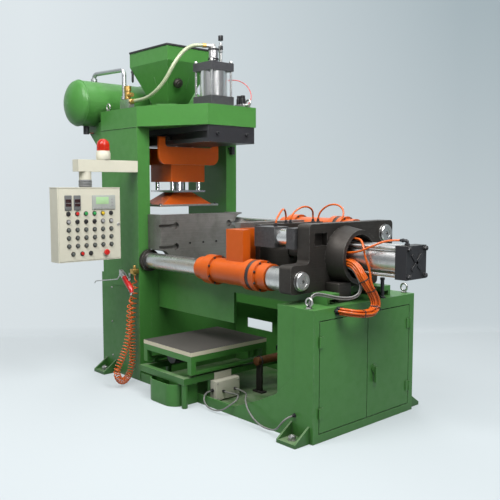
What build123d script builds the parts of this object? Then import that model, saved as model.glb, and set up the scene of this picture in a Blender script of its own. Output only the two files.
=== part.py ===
from build123d import *
import math
import os

# Shell core machine, in millimetres. +X runs along the tie bars towards the cabinet doors,
# +Y to the far side, +Z up. The origin is on the floor, midway between the anchor bolts.

# Fits shared by every piece
cut_overrun = 5.0           # how far a cut runs past the face it opens
running_fit = 0.05          # radial play of a sliding bore
seat_gap = 0.3              # curved faces that seat on each other
travel_gap = 5.0            # room beside a moving piece

# Welded frame
frame_length = 2130.0
frame_width = 900.0
plate_thickness = 10.0
column_depth = 480.0
column_width = 100.0
pedestal_lip = 25.0
pedestal_lip_height = 736.0
pedestal_rise = 75.0        # pedestal top above the base
base_height = 725.0
sill_height = 60.0
strip_width = 140.0
brace_top_height = 350.0
brace_knee_run = 140.0
brace_knee_height = 218.0
brace_toe_run = 279.0
brace_toe_height = 150.0
brace_tail_run = 495.0
bay_floor_height = 15.0
window_length = 279.0
window_height = 73.0
window_from_column = 138.0
window_sill = 289.0
cover_width = 265.0
cover_height = 540.0
cover_thickness = 4.0
cover_from_back = 110.0
cover_from_floor = 110.0

# Cabinet at the clamp end and its pair of doors
cabinet_depth = 280.0
door_zone_half = 405.0
door_zone_bottom = 47.0
door_zone_head = 61.0       # cabinet above the doors
door_split = 4.0
door_thickness = 18.0
hinge_radius = 6.0
hinge_length = 60.0
hinge_leaf_width = 26.0
hinge_leaf_thickness = 6.0
hinge_inset = 110.0
handle_from_split = 62.0
handle_height = 328.0
handle_rose_radius = 24.0
handle_rose_depth = 8.0
handle_width = 18.0
handle_length = 90.0
handle_depth = 14.0

# Bed sides under the clamp unit
rail_face = 283.0           # outer face of each bed side, from the centre plane
rail_rise = 60.0            # bed rail top above the base
rail_web = 20.0
rail_flange_width = 100.0
rail_flange_thickness = 30.0
rail_web_drop = 14.0
rail_inset = 55.0
skirt_drop = 210.0          # skirt below the base's top
skirt_length = 820.0

# Anchor feet
foot_spacing_x = 1940.0
foot_spacing_y = 1020.0
foot_length = 140.0
foot_reach = 110.0
foot_plate = 20.0
foot_rib = 12.0
foot_rib_height = 95.0
anchor_hole_radius = 14.0

# Press head over the columns
head_underside = 1780.0
head_height = 136.0
nose_reach = 481.0          # head's nose in front of the columns
nose_half = 215.5
block_setback = 6.0
block_inset = 65.0
block_half = 205.0
block_height = 113.0
groove_floor_height = 28.0
groove_height = 46.0
groove_depth = 40.0
groove_end_wall = 15.0

# Press cylinder on the head
press_setback = 201.0       # cylinder's centre behind the nose
press_barrel_radius = 95.0
press_cap_side = 200.0
press_foot_height = 74.0
press_barrel_length = 173.0
press_cap_height = 54.0
press_rod_radius = 8.0
press_rod_inset = 14.0
pilot_radius = 34.0
pilot_height = 105.0
pilot_neck_radius = 22.0
pilot_neck_height = 22.0
sensor_side = 30.0
sensor_offset = 66.0
sensor_height = 201.0

# Sand hopper
hopper_length = 484.0
hopper_shift = 6.0          # hopper's centre ahead of the columns' centre
hopper_half = 195.0
hopper_rim_height = 106.0
funnel_height = 292.0
hopper_sheet = 5.0
hopper_mouth_length = 190.0
hopper_mouth_width = 170.0
hopper_base_height = 54.0
hopper_flange_width = 340.0
hopper_flange_thickness = 15.0
hopper_neck_radius = 80.0

# Air tank behind the columns
tank_setback = 180.0        # tank's axis behind the columns
tank_rise = 210.0           # and above the head's underside
tank_radius = 167.0
tank_straight = 1070.0
tank_dish = 85.0
tank_knuckle = 45.0
tank_wall = 6.0
saddle_thickness = 30.0
saddle_reach = 265.0
saddle_drop = 140.0         # saddle's top below the tank's axis
saddle_toe_height = 40.0
saddle_height = 290.0
pipe_radius = 16.0
pipe_rise = 55.0
pipe_margin = 55.0          # pipe's start inside the near face
pipe_end_inset = 160.0
pipe_end_margin = 105.0
pipe_bend_radius = 34.0
valve_block_side = 46.0
valve_block_height = 78.0
valve_body_radius = 21.0
valve_body_height = 62.0
valve_cap_radius = 26.0
valve_cap_height = 34.0
valve_port_radius = 15.0
valve_port_length = 40.0
drain_radius = 22.0
drain_height = 60.0
drain_reach = 20.0          # drain outside the near face

# Control panel on its arm
arm_side = 78.0
arm_setback = 35.0          # arm's centre behind the columns' front
arm_centre_height = 1508.0
arm_length = 450.0
beacon_reach = 244.0
beacon_radius = 47.0
beacon_base_height = 62.0
beacon_dome_height = 81.0
panel_reach = 382.0
panel_width = 455.0
panel_height = 478.0
panel_depth = 104.0
panel_neck_length = 106.0
panel_neck_radius = 40.0
panel_door_inset = 8.0
panel_door_lip = 3.0
screen_depth = 6.0
controller_width = 48.0
controller_height = 96.0
display_width = 172.0
display_height = 94.0
button_radius = 15.0
button_depth = 14.0
button_pitch_y = 62.0
button_pitch_z = 52.0
button_columns = 6
button_rows = 6
button_first_row = 312.0    # height of the top row above the panel's bottom
stop_button_radius = 20.0
stop_button_depth = 24.0

# Clamp unit on the tie bars
bar_foot = 71.0             # lower bar's centre above the bed rails
bar_radius = 55.0
bar_offset_y = 371.0
bar_offset_z = 116.0
bar_flange_radius = 75.0
bar_flange_thickness = 30.0
end_plate_inset = 260.0
end_plate_thickness = 90.0
end_plate_rise = 193.0      # top above the clamp's centre line
end_plate_neck_half = 305.0
ear_reach = 88.0            # ear's edge from its bar's centre
end_plate_corner = 25.0
pocket_centre_y = -212.0
pocket_rise = 106.0
pocket_width = 105.0
pocket_height = 72.0
pocket_depth = 40.0
boss_radius = 155.0
boss_root_radius = 175.0
boss_bore_radius = 130.0
boss_length = 115.0
nut_radius = 52.0
nut_length = 22.0
stop_collar_radius = 68.0
stop_collar_length = 122.0
clamp_cap_width = 180.0
front_cap_length = 45.0
barrel_length = 370.0
rear_cap_length = 72.0
barrel_radius = 85.0
barrel_wall = 7.0
tie_rod_radius = 10.0
tie_rod_inset = 17.0
clamp_rod_radius = 40.0
clamp_rod_tail = 320.0      # length of rod inside the cylinder with the mould open

# Moving half of the clamp
platen_setback = 505.0      # moving platen's back from the end plate, mould open
platen_thickness = 50.0
platen_half = 285.0
platen_drop = 162.0         # below the clamp's centre line
platen_rise = 178.0
slot_width = 22.0
slot_depth = 24.0
slot_length = 130.0
slot_entry_radius = 24.0
slot_height_shares = (0.42, 0.80)
ejector_hole_radius = 9.0
ejector_hole_pitch = 120.0
sleeve_gap = 8.0            # sleeve's end from the stop collar, mould open
sleeve_gland_length = 80.0
sleeve_gland_radius = 72.0
sleeve_clamp_length = 80.0
sleeve_flange_radius = 92.0
sleeve_tube_radius = 77.0
sleeve_tube_length = 300.0
sleeve_joint_length = 40.0
sleeve_ring_length = 30.0
sleeve_ring_radius = 84.0
sleeve_foot_length = 40.0
sleeve_tail_length = 75.0
arm_plate_length = 150.0
arm_plate_rise = 145.0
arm_plate_inner_y = 180.0
arm_plate_outer_y = 401.0
arm_plate_thickness = 42.0
arm_foot_width = 60.0
ejector_plate_reach = 170.0 # ejector plate's back behind the moving platen
ejector_plate_thickness = 40.0
ejector_plate_half = 280.0
ejector_plate_drop = 122.0
ejector_plate_rise = 173.0
ejector_post_radius = 20.0
ejector_post_y = 90.0
ejector_post_z = 110.0
ejector_y = 266.0
ejector_z_offset = 108.0
ejector_block_side = 118.0
ejector_block_length = 168.0
ejector_barrel_radius = 50.0
ejector_barrel_length = 97.0
ejector_cap_length = 63.0

# Fixed platen on the columns
fixed_reach = 155.0         # fixed platen's face in front of the columns
fixed_thickness = 45.0
fixed_half = 370.0
fixed_drop = 182.0
fixed_rise = 206.0
fixed_rib = 40.0

# Blow head that hangs under the press block
blow_reach = 2.0            # blow head's face in front of the columns, at rest
blow_depth = 300.0
chamber_half = 152.0
chamber_height = 235.0
chamber_gap = 27.0          # chamber top below the press block
inlet_radius = 62.0
inlet_height = 15.0
yoke_plate = 20.0
yoke_half_width = 270.0
yoke_drop = 137.0           # yoke's foot below the press block
yoke_rise = 56.0
yoke_arm_width = 55.0
saddle_gap = 12.0           # saddle of the yoke below the press block
yoke_corner = 60.0
yoke_saddle_corner = 22.0
roller_radius = 20.0
roller_length = 32.0
axle_radius = 9.0
pillar_radius = 16.0
pillar_offset_y = 120.0
pillar_offset_x = 95.0
bush_radius = 55.0
blow_plate_half = 145.0
blow_plate_thickness = 15.0
pillar_length = 60.0
cone_height = 90.0
cone_top_width = 160.0
cone_top_depth = 130.0
cone_bottom_width = 445.0
cone_bottom_depth = 250.0
blow_flange_half = 265.0
blow_flange_thickness = 12.0

# Core tray, its trolley and the rails
tray_offset = 468.0         # tray's centre in front of the columns
tray_length = 521.0
tray_overhang = 105.0       # tray outside the near face, at rest
tray_width = 640.0
tray_top = 350.0
tray_board = 25.0
trolley_angle = 38.0
trolley_sheet = 5.0
trolley_leg = 118.0
wheel_radius = 18.0
wheel_length = 24.0
wheel_inset = 70.0
rail_x_offset = 225.0
tray_rail_width = 40.0
tray_rail_bottom = 150.0
tray_rail_top = 190.0
tray_rail_overhang = 150.0
rail_post_radius = 19.0
rail_post_inset = 60.0
motor_radius = 48.0
motor_length = 190.0
pan_length = 310.0
pan_shift = 32.0
pan_reach = 190.0
pan_height = 140.0
pan_sheet = 6.0
pan_corner = 90.0
box_length = 200.0
box_height = 125.0
box_depth = 50.0
box_inset = 50.0
box_top = 145.0
box_tab = 30.0

# Places worked out from the sizes above
x_back = -frame_length / 2
x_end = frame_length / 2
half_width = frame_width / 2
column_front = x_back + column_depth
column_inner = half_width - column_width
plate_inner = half_width - plate_thickness
cabinet_back = x_end - cabinet_depth
rail_end = x_end - rail_inset
skirt_end = column_front + skirt_length
nose_front = column_front + nose_reach
block_front = nose_front - block_setback
block_back = x_back + block_inset
press_x = nose_front - press_setback
hopper_middle = x_back + column_depth / 2 + hopper_shift
hopper_back = hopper_middle - hopper_length / 2
hopper_front = hopper_middle + hopper_length / 2
tank_x = x_back - tank_setback
tank_z = head_underside + tank_rise
saddle_top = tank_z - saddle_drop
saddle_bottom = saddle_top - saddle_height
pipe_y = pipe_margin - half_width
pipe_top_run_end = (x_back + pipe_end_inset, pipe_end_margin - half_width)
drain_y = -half_width - drain_reach
arm_x = column_front - arm_setback
beacon_y = -half_width - beacon_reach
panel_y = -half_width - panel_reach
pedestal_height = base_height + pedestal_rise
door_zone_top = base_height - door_zone_head
rail_top = base_height + rail_rise
rail_web_bottom = base_height - rail_web_drop
skirt_bottom = base_height - skirt_drop
head_top = head_underside + head_height
hopper_mouth_height = head_top + hopper_base_height
hopper_rim_bottom = hopper_mouth_height + funnel_height
panel_top = arm_centre_height - arm_side / 2 - panel_neck_length
clamp_height = rail_top + bar_foot + bar_offset_z
end_plate_top = clamp_height + end_plate_rise
pocket_centre_z = clamp_height + pocket_rise
platen_bottom = clamp_height - platen_drop
platen_top = clamp_height + platen_rise
arm_plate_top = clamp_height + arm_plate_rise
ejector_plate_bottom = clamp_height - ejector_plate_drop
ejector_plate_top = clamp_height + ejector_plate_rise
fixed_bottom = clamp_height - fixed_drop
fixed_top = clamp_height + fixed_rise
end_plate_back = x_end - end_plate_inset
end_plate_front = end_plate_back + end_plate_thickness
rear_cap_start = end_plate_front + front_cap_length + barrel_length
platen_back = end_plate_back - platen_setback
platen_front = platen_back - platen_thickness
sleeve_end = end_plate_back - stop_collar_length - sleeve_gap
sleeve_foot_end = sleeve_end - sleeve_tail_length
sleeve_ring_end = sleeve_foot_end - sleeve_foot_length
sleeve_joint_end = sleeve_ring_end - sleeve_ring_length
sleeve_joint_start = sleeve_joint_end - sleeve_joint_length
sleeve_clamp_end = sleeve_joint_start - sleeve_tube_length
sleeve_gland_end = sleeve_clamp_end - sleeve_clamp_length
sleeve_start = sleeve_gland_end - sleeve_gland_length
arm_plate_start = platen_back
arm_plate_end = arm_plate_start + arm_plate_length
ejector_plate_start = platen_back + ejector_plate_reach
ejector_block_end = ejector_plate_start + ejector_block_length
ejector_barrel_end = ejector_block_end + ejector_barrel_length
ejector_end = ejector_barrel_end + ejector_cap_length
fixed_face = column_front + fixed_reach
fixed_back = fixed_face - fixed_thickness
blow_front = column_front + blow_reach
blow_back = blow_front - blow_depth
blow_centre = blow_front - blow_depth / 2
block_bottom = head_underside - block_height
chamber_top = block_bottom - chamber_gap
chamber_bottom = chamber_top - chamber_height
yoke_bottom = block_bottom - yoke_drop
yoke_top = block_bottom + yoke_rise
yoke_saddle = block_bottom - saddle_gap
blow_plate_top = chamber_bottom - pillar_length
blow_plate_bottom = blow_plate_top - blow_plate_thickness
cone_bottom = blow_plate_bottom - cone_height
blow_flange_bottom = cone_bottom - blow_flange_thickness
tray_x = column_front + tray_offset
tray_front = -half_width - tray_overhang
tray_back = tray_front + tray_width
tray_rail_front = -half_width - tray_rail_overhang
pan_left = tray_x + pan_shift - pan_length / 2
pan_right = pan_left + pan_length
pan_front = -half_width - pan_reach
box_front = -plate_inner + box_inset
tray_left = tray_x - tray_length / 2
tray_right = tray_x + tray_length / 2
bar_places = ((-bar_offset_y, clamp_height - bar_offset_z), (bar_offset_y, clamp_height + bar_offset_z))

TURN = {"X": Rot(0, 90, 0), "Y": Rot(90, 0, 0), "Z": Rot(0, 0, 0)}


def block(x_low, x_high, y_low, y_high, z_low, z_high):
    """Box between two opposite corners."""
    centre = Pos((x_low + x_high) / 2, (y_low + y_high) / 2, (z_low + z_high) / 2)
    return centre * Box(x_high - x_low, y_high - y_low, z_high - z_low)


def bar(axis, low, high, radius, first, second):
    """Round bar along one axis, with its place on the two other axes in X, Y, Z order."""
    middle = (low + high) / 2
    spots = {"X": (middle, first, second), "Y": (first, middle, second), "Z": (first, second, middle)}
    return Pos(*spots[axis]) * TURN[axis] * Cylinder(radius, high - low)


def outline(points):
    """Flat face inside a closed row of points."""
    return make_face(Polyline(*points, close=True))


def prism(axis, face, low, high):
    """Push a flat face along one axis; the face is drawn on the two other axes in X, Y, Z order."""
    planes = {"X": Plane.YZ.offset(low), "Y": Plane.XZ.offset(-low), "Z": Plane.XY.offset(low)}
    length = low - high if axis == "Y" else high - low
    return extrude(planes[axis] * face, amount=length)


def half_turn(shape):
    """The same piece turned half way round the clamp's centre line."""
    return Pos(0, 0, clamp_height) * Rot(180, 0, 0) * Pos(0, 0, -clamp_height) * shape


def mirrored(shape):
    """The same piece on the other side of the centre plane."""
    return mirror(shape, about=Plane.XZ)


def both_sides(shape):
    """A piece and its mirror image, as two solids of one node."""
    return Compound(children=[shape, mirrored(shape)])


def both_turns(shape):
    """A piece and its copy across the clamp's centre line, as two solids of one node."""
    return Compound(children=[shape, half_turn(shape)])


def columns():
    shaft = block(x_back, column_front, -half_width, -column_inner, 0, head_underside)
    lip = block(x_back - pedestal_lip, x_back, -half_width, -column_inner, 0, pedestal_lip_height)
    return both_sides(shaft + lip)


def column_cover():
    start = x_back + cover_from_back
    return block(start, start + cover_width, -half_width - cover_thickness, -half_width,
                 cover_from_floor, cover_from_floor + cover_height)


def pedestal():
    return block(x_back, column_front, -column_inner, column_inner, 0, pedestal_height)


def near_side_plate():
    edge = x_end - strip_width
    points = [
        (column_front, 0), (x_end, 0), (x_end, base_height), (edge, base_height),
        (edge, brace_top_height), (edge - brace_knee_run, brace_knee_height),
        (edge - brace_toe_run, brace_toe_height), (edge - brace_tail_run, sill_height),
        (column_front, sill_height),
    ]
    return prism("Y", outline(points), -half_width, -plate_inner)


def far_side_plate():
    sheet = block(column_front, x_end, plate_inner, half_width, 0, base_height)
    left = column_front + window_from_column
    hole = block(left, left + window_length, plate_inner - cut_overrun, half_width + cut_overrun,
                 window_sill, window_sill + window_height)
    return sheet - hole


def cabinet():
    shell = block(cabinet_back, x_end, -plate_inner, plate_inner, 0, base_height)
    inner = plate_inner - plate_thickness
    room = block(cabinet_back + plate_thickness, x_end - door_thickness - plate_thickness,
                 -inner, inner, plate_thickness, base_height - plate_thickness)
    mouth = block(cabinet_back + plate_thickness, x_end + cut_overrun, -door_zone_half, door_zone_half,
                  door_zone_bottom, door_zone_top)
    return shell - room - mouth


def cabinet_door(side):
    """One door leaf; side is -1 for the near door and 1 for the far one."""
    outer = side * (door_zone_half - travel_gap)
    middle = door_split + side * travel_gap / 2
    low, high = sorted((outer, middle))
    bottom = door_zone_bottom + travel_gap
    top = door_zone_top - travel_gap
    leaf = block(x_end - door_thickness, x_end, low, high, bottom, top)
    axis_x = x_end + hinge_radius + seat_gap
    leaf_low, leaf_high = sorted((outer, outer - side * hinge_leaf_width))
    for height in (bottom + hinge_inset, top - hinge_inset):
        ends = (height - hinge_length / 2, height + hinge_length / 2)
        leaf += block(x_end, x_end + hinge_leaf_thickness, leaf_low, leaf_high, *ends)
        leaf += bar("Z", *ends, hinge_radius, axis_x, side * door_zone_half)
    return leaf


def cabinet_left_door():
    return cabinet_door(-1)


def cabinet_right_door():
    spot = door_split + handle_from_split
    rose = bar("X", x_end, x_end + handle_rose_depth, handle_rose_radius, spot, handle_height)
    front = x_end + handle_rose_depth
    lever = block(front, front + handle_depth, spot - handle_width / 2, spot + handle_width / 2,
                  handle_height + handle_width / 2 - handle_length, handle_height + handle_width / 2)
    return cabinet_door(1) + rose + lever


def bed_rails():
    points = [
        (column_front, skirt_bottom), (skirt_end, skirt_bottom), (skirt_end, rail_web_bottom),
        (cabinet_back, rail_web_bottom), (cabinet_back, base_height), (rail_end, base_height),
        (rail_end, rail_top), (column_front, rail_top),
    ]
    web = prism("Y", outline(points), -rail_face, -rail_face + rail_web)
    flange = block(column_front, rail_end, -rail_face, -rail_face + rail_flange_width,
                   rail_top - rail_flange_thickness, rail_top)
    return both_sides(web + flange)


def bay_floor():
    return block(column_front, cabinet_back, -plate_inner, plate_inner,
                 bay_floor_height - plate_thickness, bay_floor_height)


def anchor_foot(x):
    outer = -half_width - foot_reach
    foot = block(x - foot_length / 2, x + foot_length / 2, outer, -half_width, 0, foot_plate)
    bore_y = -foot_spacing_y / 2
    foot -= bar("Z", -cut_overrun, foot_plate + cut_overrun, anchor_hole_radius, x, bore_y)
    rib = outline([(outer, foot_plate), (-half_width, foot_plate), (-half_width, foot_rib_height)])
    for edge in (x - foot_length / 2, x + foot_length / 2 - foot_rib):
        foot += prism("X", rib, edge, edge + foot_rib)
    return foot


def anchor_feet():
    near = [anchor_foot(-foot_spacing_x / 2), anchor_foot(foot_spacing_x / 2)]
    return Compound(children=near + [mirrored(foot) for foot in near])


def press_head():
    points = [
        (x_back, -half_width), (column_front, -half_width), (nose_front, -nose_half),
        (nose_front, nose_half), (column_front, half_width), (x_back, half_width),
    ]
    return prism("Z", outline(points), head_underside, head_top)


def press_block():
    body = block(block_back, block_front, -block_half, block_half, block_bottom, head_underside)
    floor = block_bottom + groove_floor_height
    groove = block(block_back + groove_end_wall, block_front - groove_end_wall, -block_half - cut_overrun,
                   -block_half + groove_depth, floor, floor + groove_height)
    return body - groove - mirrored(groove)


def square_cap(x, z_low, z_high, side):
    return block(x - side / 2, x + side / 2, -side / 2, side / 2, z_low, z_high)


def press_cylinder():
    barrel_low = head_top + press_foot_height
    cap_low = barrel_low + press_barrel_length
    stack = square_cap(press_x, head_top, barrel_low, press_cap_side)
    stack += bar("Z", barrel_low, cap_low, press_barrel_radius, press_x, 0)
    stack += square_cap(press_x, cap_low, cap_low + press_cap_height, press_cap_side)
    reach = press_cap_side / 2 - press_rod_inset
    for dx in (-reach, reach):
        for dy in (-reach, reach):
            stack += bar("Z", barrel_low, cap_low, press_rod_radius, press_x + dx, dy)
    return stack


def pilot_cylinder():
    base = head_top + press_foot_height + press_barrel_length + press_cap_height
    neck = bar("Z", base, base + pilot_neck_height, pilot_neck_radius, press_x, 0)
    body = bar("Z", base + pilot_neck_height, base + pilot_height, pilot_radius, press_x, 0)
    return neck + body


def level_sensor():
    base = head_top + press_foot_height + press_barrel_length + press_cap_height
    half = sensor_side / 2
    return block(press_x - half, press_x + half, sensor_offset - half, sensor_offset + half,
                 base, base + sensor_height)


def hopper():
    def funnel(inset):
        rim = Rectangle(hopper_length - 2 * inset, 2 * (hopper_half - inset))
        mouth = Rectangle(hopper_mouth_length - 2 * inset, hopper_mouth_width - 2 * inset)
        return loft([Pos(hopper_middle, 0, hopper_mouth_height) * mouth,
                     Pos(hopper_middle, 0, hopper_rim_bottom) * rim])

    def collar(inset, top):
        return block(hopper_back + inset, hopper_front - inset, inset - hopper_half, hopper_half - inset,
                     hopper_rim_bottom, top)

    rim_top = hopper_rim_bottom + hopper_rim_height
    outside = funnel(0) + collar(0, rim_top)
    inside = funnel(hopper_sheet) + collar(hopper_sheet, rim_top + cut_overrun)
    return outside - inside


def hopper_base():
    flats = 8
    half_turn_of_flat = 180 / flats
    eighth = Rot(0, 0, half_turn_of_flat) * RegularPolygon(hopper_flange_width / 2, flats, major_radius=False)
    eighth = Pos(hopper_middle, 0, 0) * eighth
    flange = prism("Z", eighth, hopper_mouth_height - hopper_flange_thickness, hopper_mouth_height)
    neck = bar("Z", head_top, hopper_mouth_height - hopper_flange_thickness, hopper_neck_radius,
               hopper_middle, 0)
    return flange + neck


def air_tank():
    half = tank_straight / 2
    tube = bar("Y", -half, half, tank_radius, tank_x, tank_z)
    return tube - bar("Y", -half - cut_overrun, half + cut_overrun, tank_radius - tank_wall, tank_x, tank_z)


def tank_end():
    """Dished end: a knuckle arc that runs into a flatter crown arc, turned about the tank's axis."""
    rise = tank_dish - tank_knuckle
    reach = tank_radius - tank_knuckle
    crown_drop = (reach ** 2 - rise ** 2) / (2 * rise)
    turn = math.degrees(math.atan2(crown_drop, reach))

    def skin(inset):
        knuckle = CenterArc((reach, 0), tank_knuckle - inset, 0, turn)
        crown = CenterArc((0, -crown_drop), tank_dish + crown_drop - inset, turn, 90 - turn)
        return [knuckle, crown]

    outer = skin(0)
    inner = skin(tank_wall)
    closing = [Line(outer[1] @ 1, inner[1] @ 1), Line(inner[0] @ 0, outer[0] @ 0)]
    cup = revolve(Plane.XZ * make_face(outer + inner + closing), Axis.Z)
    return Pos(tank_x, -tank_straight / 2, tank_z) * Rot(90, 0, 0) * cup


def tank_ends():
    return both_sides(tank_end())


def tank_saddle():
    points = [
        (x_back, saddle_bottom), (x_back, saddle_top), (x_back - saddle_reach, saddle_top),
        (x_back - saddle_reach, saddle_top - saddle_toe_height),
    ]
    middle = (half_width + column_inner) / 2
    low, high = -middle - saddle_thickness / 2, -middle + saddle_thickness / 2
    rest = bar("Y", low - cut_overrun, high + cut_overrun, tank_radius + seat_gap, tank_x, tank_z)
    return prism("Y", outline(points), low, high) - rest


def tank_saddles():
    return both_sides(tank_saddle())


def air_pipe():
    """Bent pipe from the top of the tank over to the valve on the head."""
    start = tank_z + tank_radius
    top = start + pipe_rise
    end_x, end_y = pipe_top_run_end
    valve_top = head_top + valve_block_height
    path = FilletPolyline((tank_x, pipe_y, start), (tank_x, pipe_y, top), (end_x, end_y, top),
                          (end_x, end_y, valve_top), radius=pipe_bend_radius)
    section = Plane(path @ 0, z_dir=path % 0) * Circle(pipe_radius)
    return sweep(section, path=path)


def valve_block():
    end_x, end_y = pipe_top_run_end
    half = valve_block_side / 2
    return block(end_x - half, end_x + 2 * half + valve_block_side, end_y - half, end_y + half,
                 head_top, head_top + valve_block_height)


def air_valve():
    end_x, end_y = pipe_top_run_end
    spot = end_x + valve_block_side
    low = head_top + valve_block_height
    body = bar("Z", low, low + valve_body_height, valve_body_radius, spot, end_y)
    cap_low = low + valve_body_height
    body += bar("Z", cap_low, cap_low + valve_cap_height, valve_cap_radius, spot, end_y)
    middle = low + valve_body_height / 2
    return body + bar("X", spot, spot + valve_body_radius + valve_port_length, valve_port_radius,
                      end_y, middle)


def drain_valve():
    low = tank_z - tank_radius - drain_height
    stub = bar("Z", low, tank_z - tank_radius + tank_wall, drain_radius, tank_x, drain_y)
    return stub - bar("Y", drain_y - drain_radius - cut_overrun, drain_y + drain_radius + cut_overrun,
                      tank_radius + seat_gap, tank_x, tank_z)


def control_arm():
    half = arm_side / 2
    return block(arm_x - half, arm_x + half, -half_width - arm_length, -half_width,
                 arm_centre_height - half, arm_centre_height + half)


def beacon():
    low = arm_centre_height + arm_side / 2
    base = bar("Z", low, low + beacon_base_height, beacon_radius, arm_x, beacon_y)
    dome_low = low + beacon_base_height
    straight = beacon_dome_height - beacon_radius
    dome = bar("Z", dome_low, dome_low + straight, beacon_radius, arm_x, beacon_y)
    cap = Pos(arm_x, beacon_y, dome_low + straight) * Sphere(beacon_radius)
    return base + dome + cap


def control_panel():
    half_depth = panel_depth / 2
    low_y, high_y = panel_y - panel_width / 2, panel_y + panel_width / 2
    bottom = panel_top - panel_height
    box = block(arm_x - half_depth, arm_x + half_depth, low_y, high_y, bottom, panel_top)
    face = arm_x + half_depth
    door = block(face, face + panel_door_lip, low_y + panel_door_inset, high_y - panel_door_inset,
                 bottom + panel_door_inset, panel_top - panel_door_inset)
    neck_top = arm_centre_height - arm_side / 2 - seat_gap
    return box + door + bar("Z", panel_top, neck_top, panel_neck_radius, arm_x, panel_y)


def panel_face():
    """X of the panel door's outer face."""
    return arm_x + panel_depth / 2 + panel_door_lip


def panel_screens():
    face = panel_face()
    top = panel_top - controller_height / 2
    low_y = panel_y - panel_width / 2
    screens = []
    for index in range(2):
        start = low_y + controller_width + index * (controller_width + button_pitch_y / 4)
        screens.append(block(face, face + screen_depth, start, start + controller_width,
                             top - controller_height, top))
    start = panel_y + button_radius
    screens.append(block(face, face + screen_depth, start, start + display_width, top - display_height, top))
    return Compound(children=screens)


def panel_buttons():
    face = panel_face()
    bottom = panel_top - panel_height
    buttons = []
    for row in range(button_rows):
        height = bottom + button_first_row - row * button_pitch_z
        filled = button_columns if row < button_rows - 1 else button_columns - 2
        for column in range(filled):
            spot = panel_y + (column - (button_columns - 1) / 2) * button_pitch_y
            stop = row == button_rows - 1 and column == filled - 1
            radius = stop_button_radius if stop else button_radius
            depth = stop_button_depth if stop else button_depth
            buttons.append(bar("X", face, face + depth, radius, spot, height))
    return Compound(children=buttons)


def tie_bars():
    bars = []
    for y, z in bar_places:
        rod = bar("X", column_front, end_plate_front, bar_radius, y, z)
        rod += bar("X", column_front, column_front + bar_flange_thickness, bar_flange_radius, y, z)
        bars.append(rod)
    return Compound(children=bars)


def tie_bar_nuts():
    nuts = [bar("X", end_plate_front, end_plate_front + nut_length, nut_radius, y, z) for y, z in bar_places]
    return Compound(children=nuts)


def stop_collars():
    collars = []
    for y, z in bar_places:
        ring = bar("X", end_plate_back - stop_collar_length, end_plate_back, stop_collar_radius, y, z)
        bore = bar("X", end_plate_back - stop_collar_length - cut_overrun, end_plate_back + cut_overrun,
                   bar_radius + running_fit, y, z)
        collars.append(ring - bore)
    return Compound(children=collars)


def end_plate():
    ear_top = clamp_height - bar_offset_z + ear_reach
    ear_low = clamp_height + bar_offset_z - ear_reach
    points = [
        (-half_width, rail_top), (-half_width, ear_top), (-end_plate_neck_half, ear_top),
        (-end_plate_neck_half, end_plate_top), (half_width, end_plate_top), (half_width, ear_low),
        (end_plate_neck_half, ear_low), (end_plate_neck_half, rail_top),
    ]
    face = outline(points)
    face = fillet(face.vertices(), end_plate_corner)
    plate = prism("X", face, end_plate_back, end_plate_front)
    ring = outline([(boss_bore_radius, 0), (boss_root_radius, 0), (boss_radius, boss_length),
                    (boss_bore_radius, boss_length)])
    plate += Pos(end_plate_front, 0, clamp_height) * TURN["X"] * revolve(Plane.XZ * ring, Axis.Z)
    plate -= bar("X", end_plate_back - cut_overrun, end_plate_front + cut_overrun,
                 clamp_rod_radius + travel_gap, 0, clamp_height)
    for y, z in bar_places:
        plate -= bar("X", end_plate_back - cut_overrun, end_plate_front + cut_overrun,
                     bar_radius + running_fit, y, z)
    pocket = block(end_plate_front - pocket_depth, end_plate_front + cut_overrun,
                   pocket_centre_y - pocket_width / 2, pocket_centre_y + pocket_width / 2,
                   pocket_centre_z - pocket_height / 2, pocket_centre_z + pocket_height / 2)
    return plate - pocket - half_turn(pocket)


def clamp_square(x_low, x_high, side):
    return block(x_low, x_high, -side / 2, side / 2, clamp_height - side / 2, clamp_height + side / 2)


def clamp_caps():
    front = clamp_square(end_plate_front, end_plate_front + front_cap_length, clamp_cap_width)
    front -= bar("X", end_plate_front - cut_overrun, end_plate_front + front_cap_length + cut_overrun,
                 clamp_rod_radius + running_fit, 0, clamp_height)
    rear = clamp_square(rear_cap_start, rear_cap_start + rear_cap_length, clamp_cap_width)
    return Compound(children=[front, rear])


def clamp_barrel():
    start = end_plate_front + front_cap_length
    tube = bar("X", start, rear_cap_start, barrel_radius, 0, clamp_height)
    return tube - bar("X", start - cut_overrun, rear_cap_start + cut_overrun, barrel_radius - barrel_wall,
                      0, clamp_height)


def clamp_tie_rods():
    reach = clamp_cap_width / 2 - tie_rod_inset
    start = end_plate_front + front_cap_length
    rods = [bar("X", start, rear_cap_start, tie_rod_radius, dy, clamp_height + dz)
            for dy in (-reach, reach) for dz in (-reach, reach)]
    return Compound(children=rods)


def clamp_rod():
    return bar("X", platen_back, end_plate_front + front_cap_length + clamp_rod_tail, clamp_rod_radius,
               0, clamp_height)


def platen_slots(face, inward, half, bottom, top):
    """T-slots cut from both side edges of a platen; inward is the direction into the metal."""
    low, high = sorted((face - inward * cut_overrun, face + inward * slot_depth))
    cuts = []
    for share in slot_height_shares:
        z = bottom + share * (top - bottom)
        for side in (-1, 1):
            inner = side * (half - slot_length)
            outer = side * (half + cut_overrun)
            y_low, y_high = sorted((inner, outer))
            cuts.append(block(low, high, y_low, y_high, z - slot_width / 2, z + slot_width / 2))
            cuts.append(bar("X", low, high, slot_entry_radius, inner, z))
    return cuts


def moving_platen():
    plate = block(platen_front, platen_back, -platen_half, platen_half, platen_bottom, platen_top)
    for cut in platen_slots(platen_front, 1, platen_half, platen_bottom, platen_top):
        plate -= cut
    return plate


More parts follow.
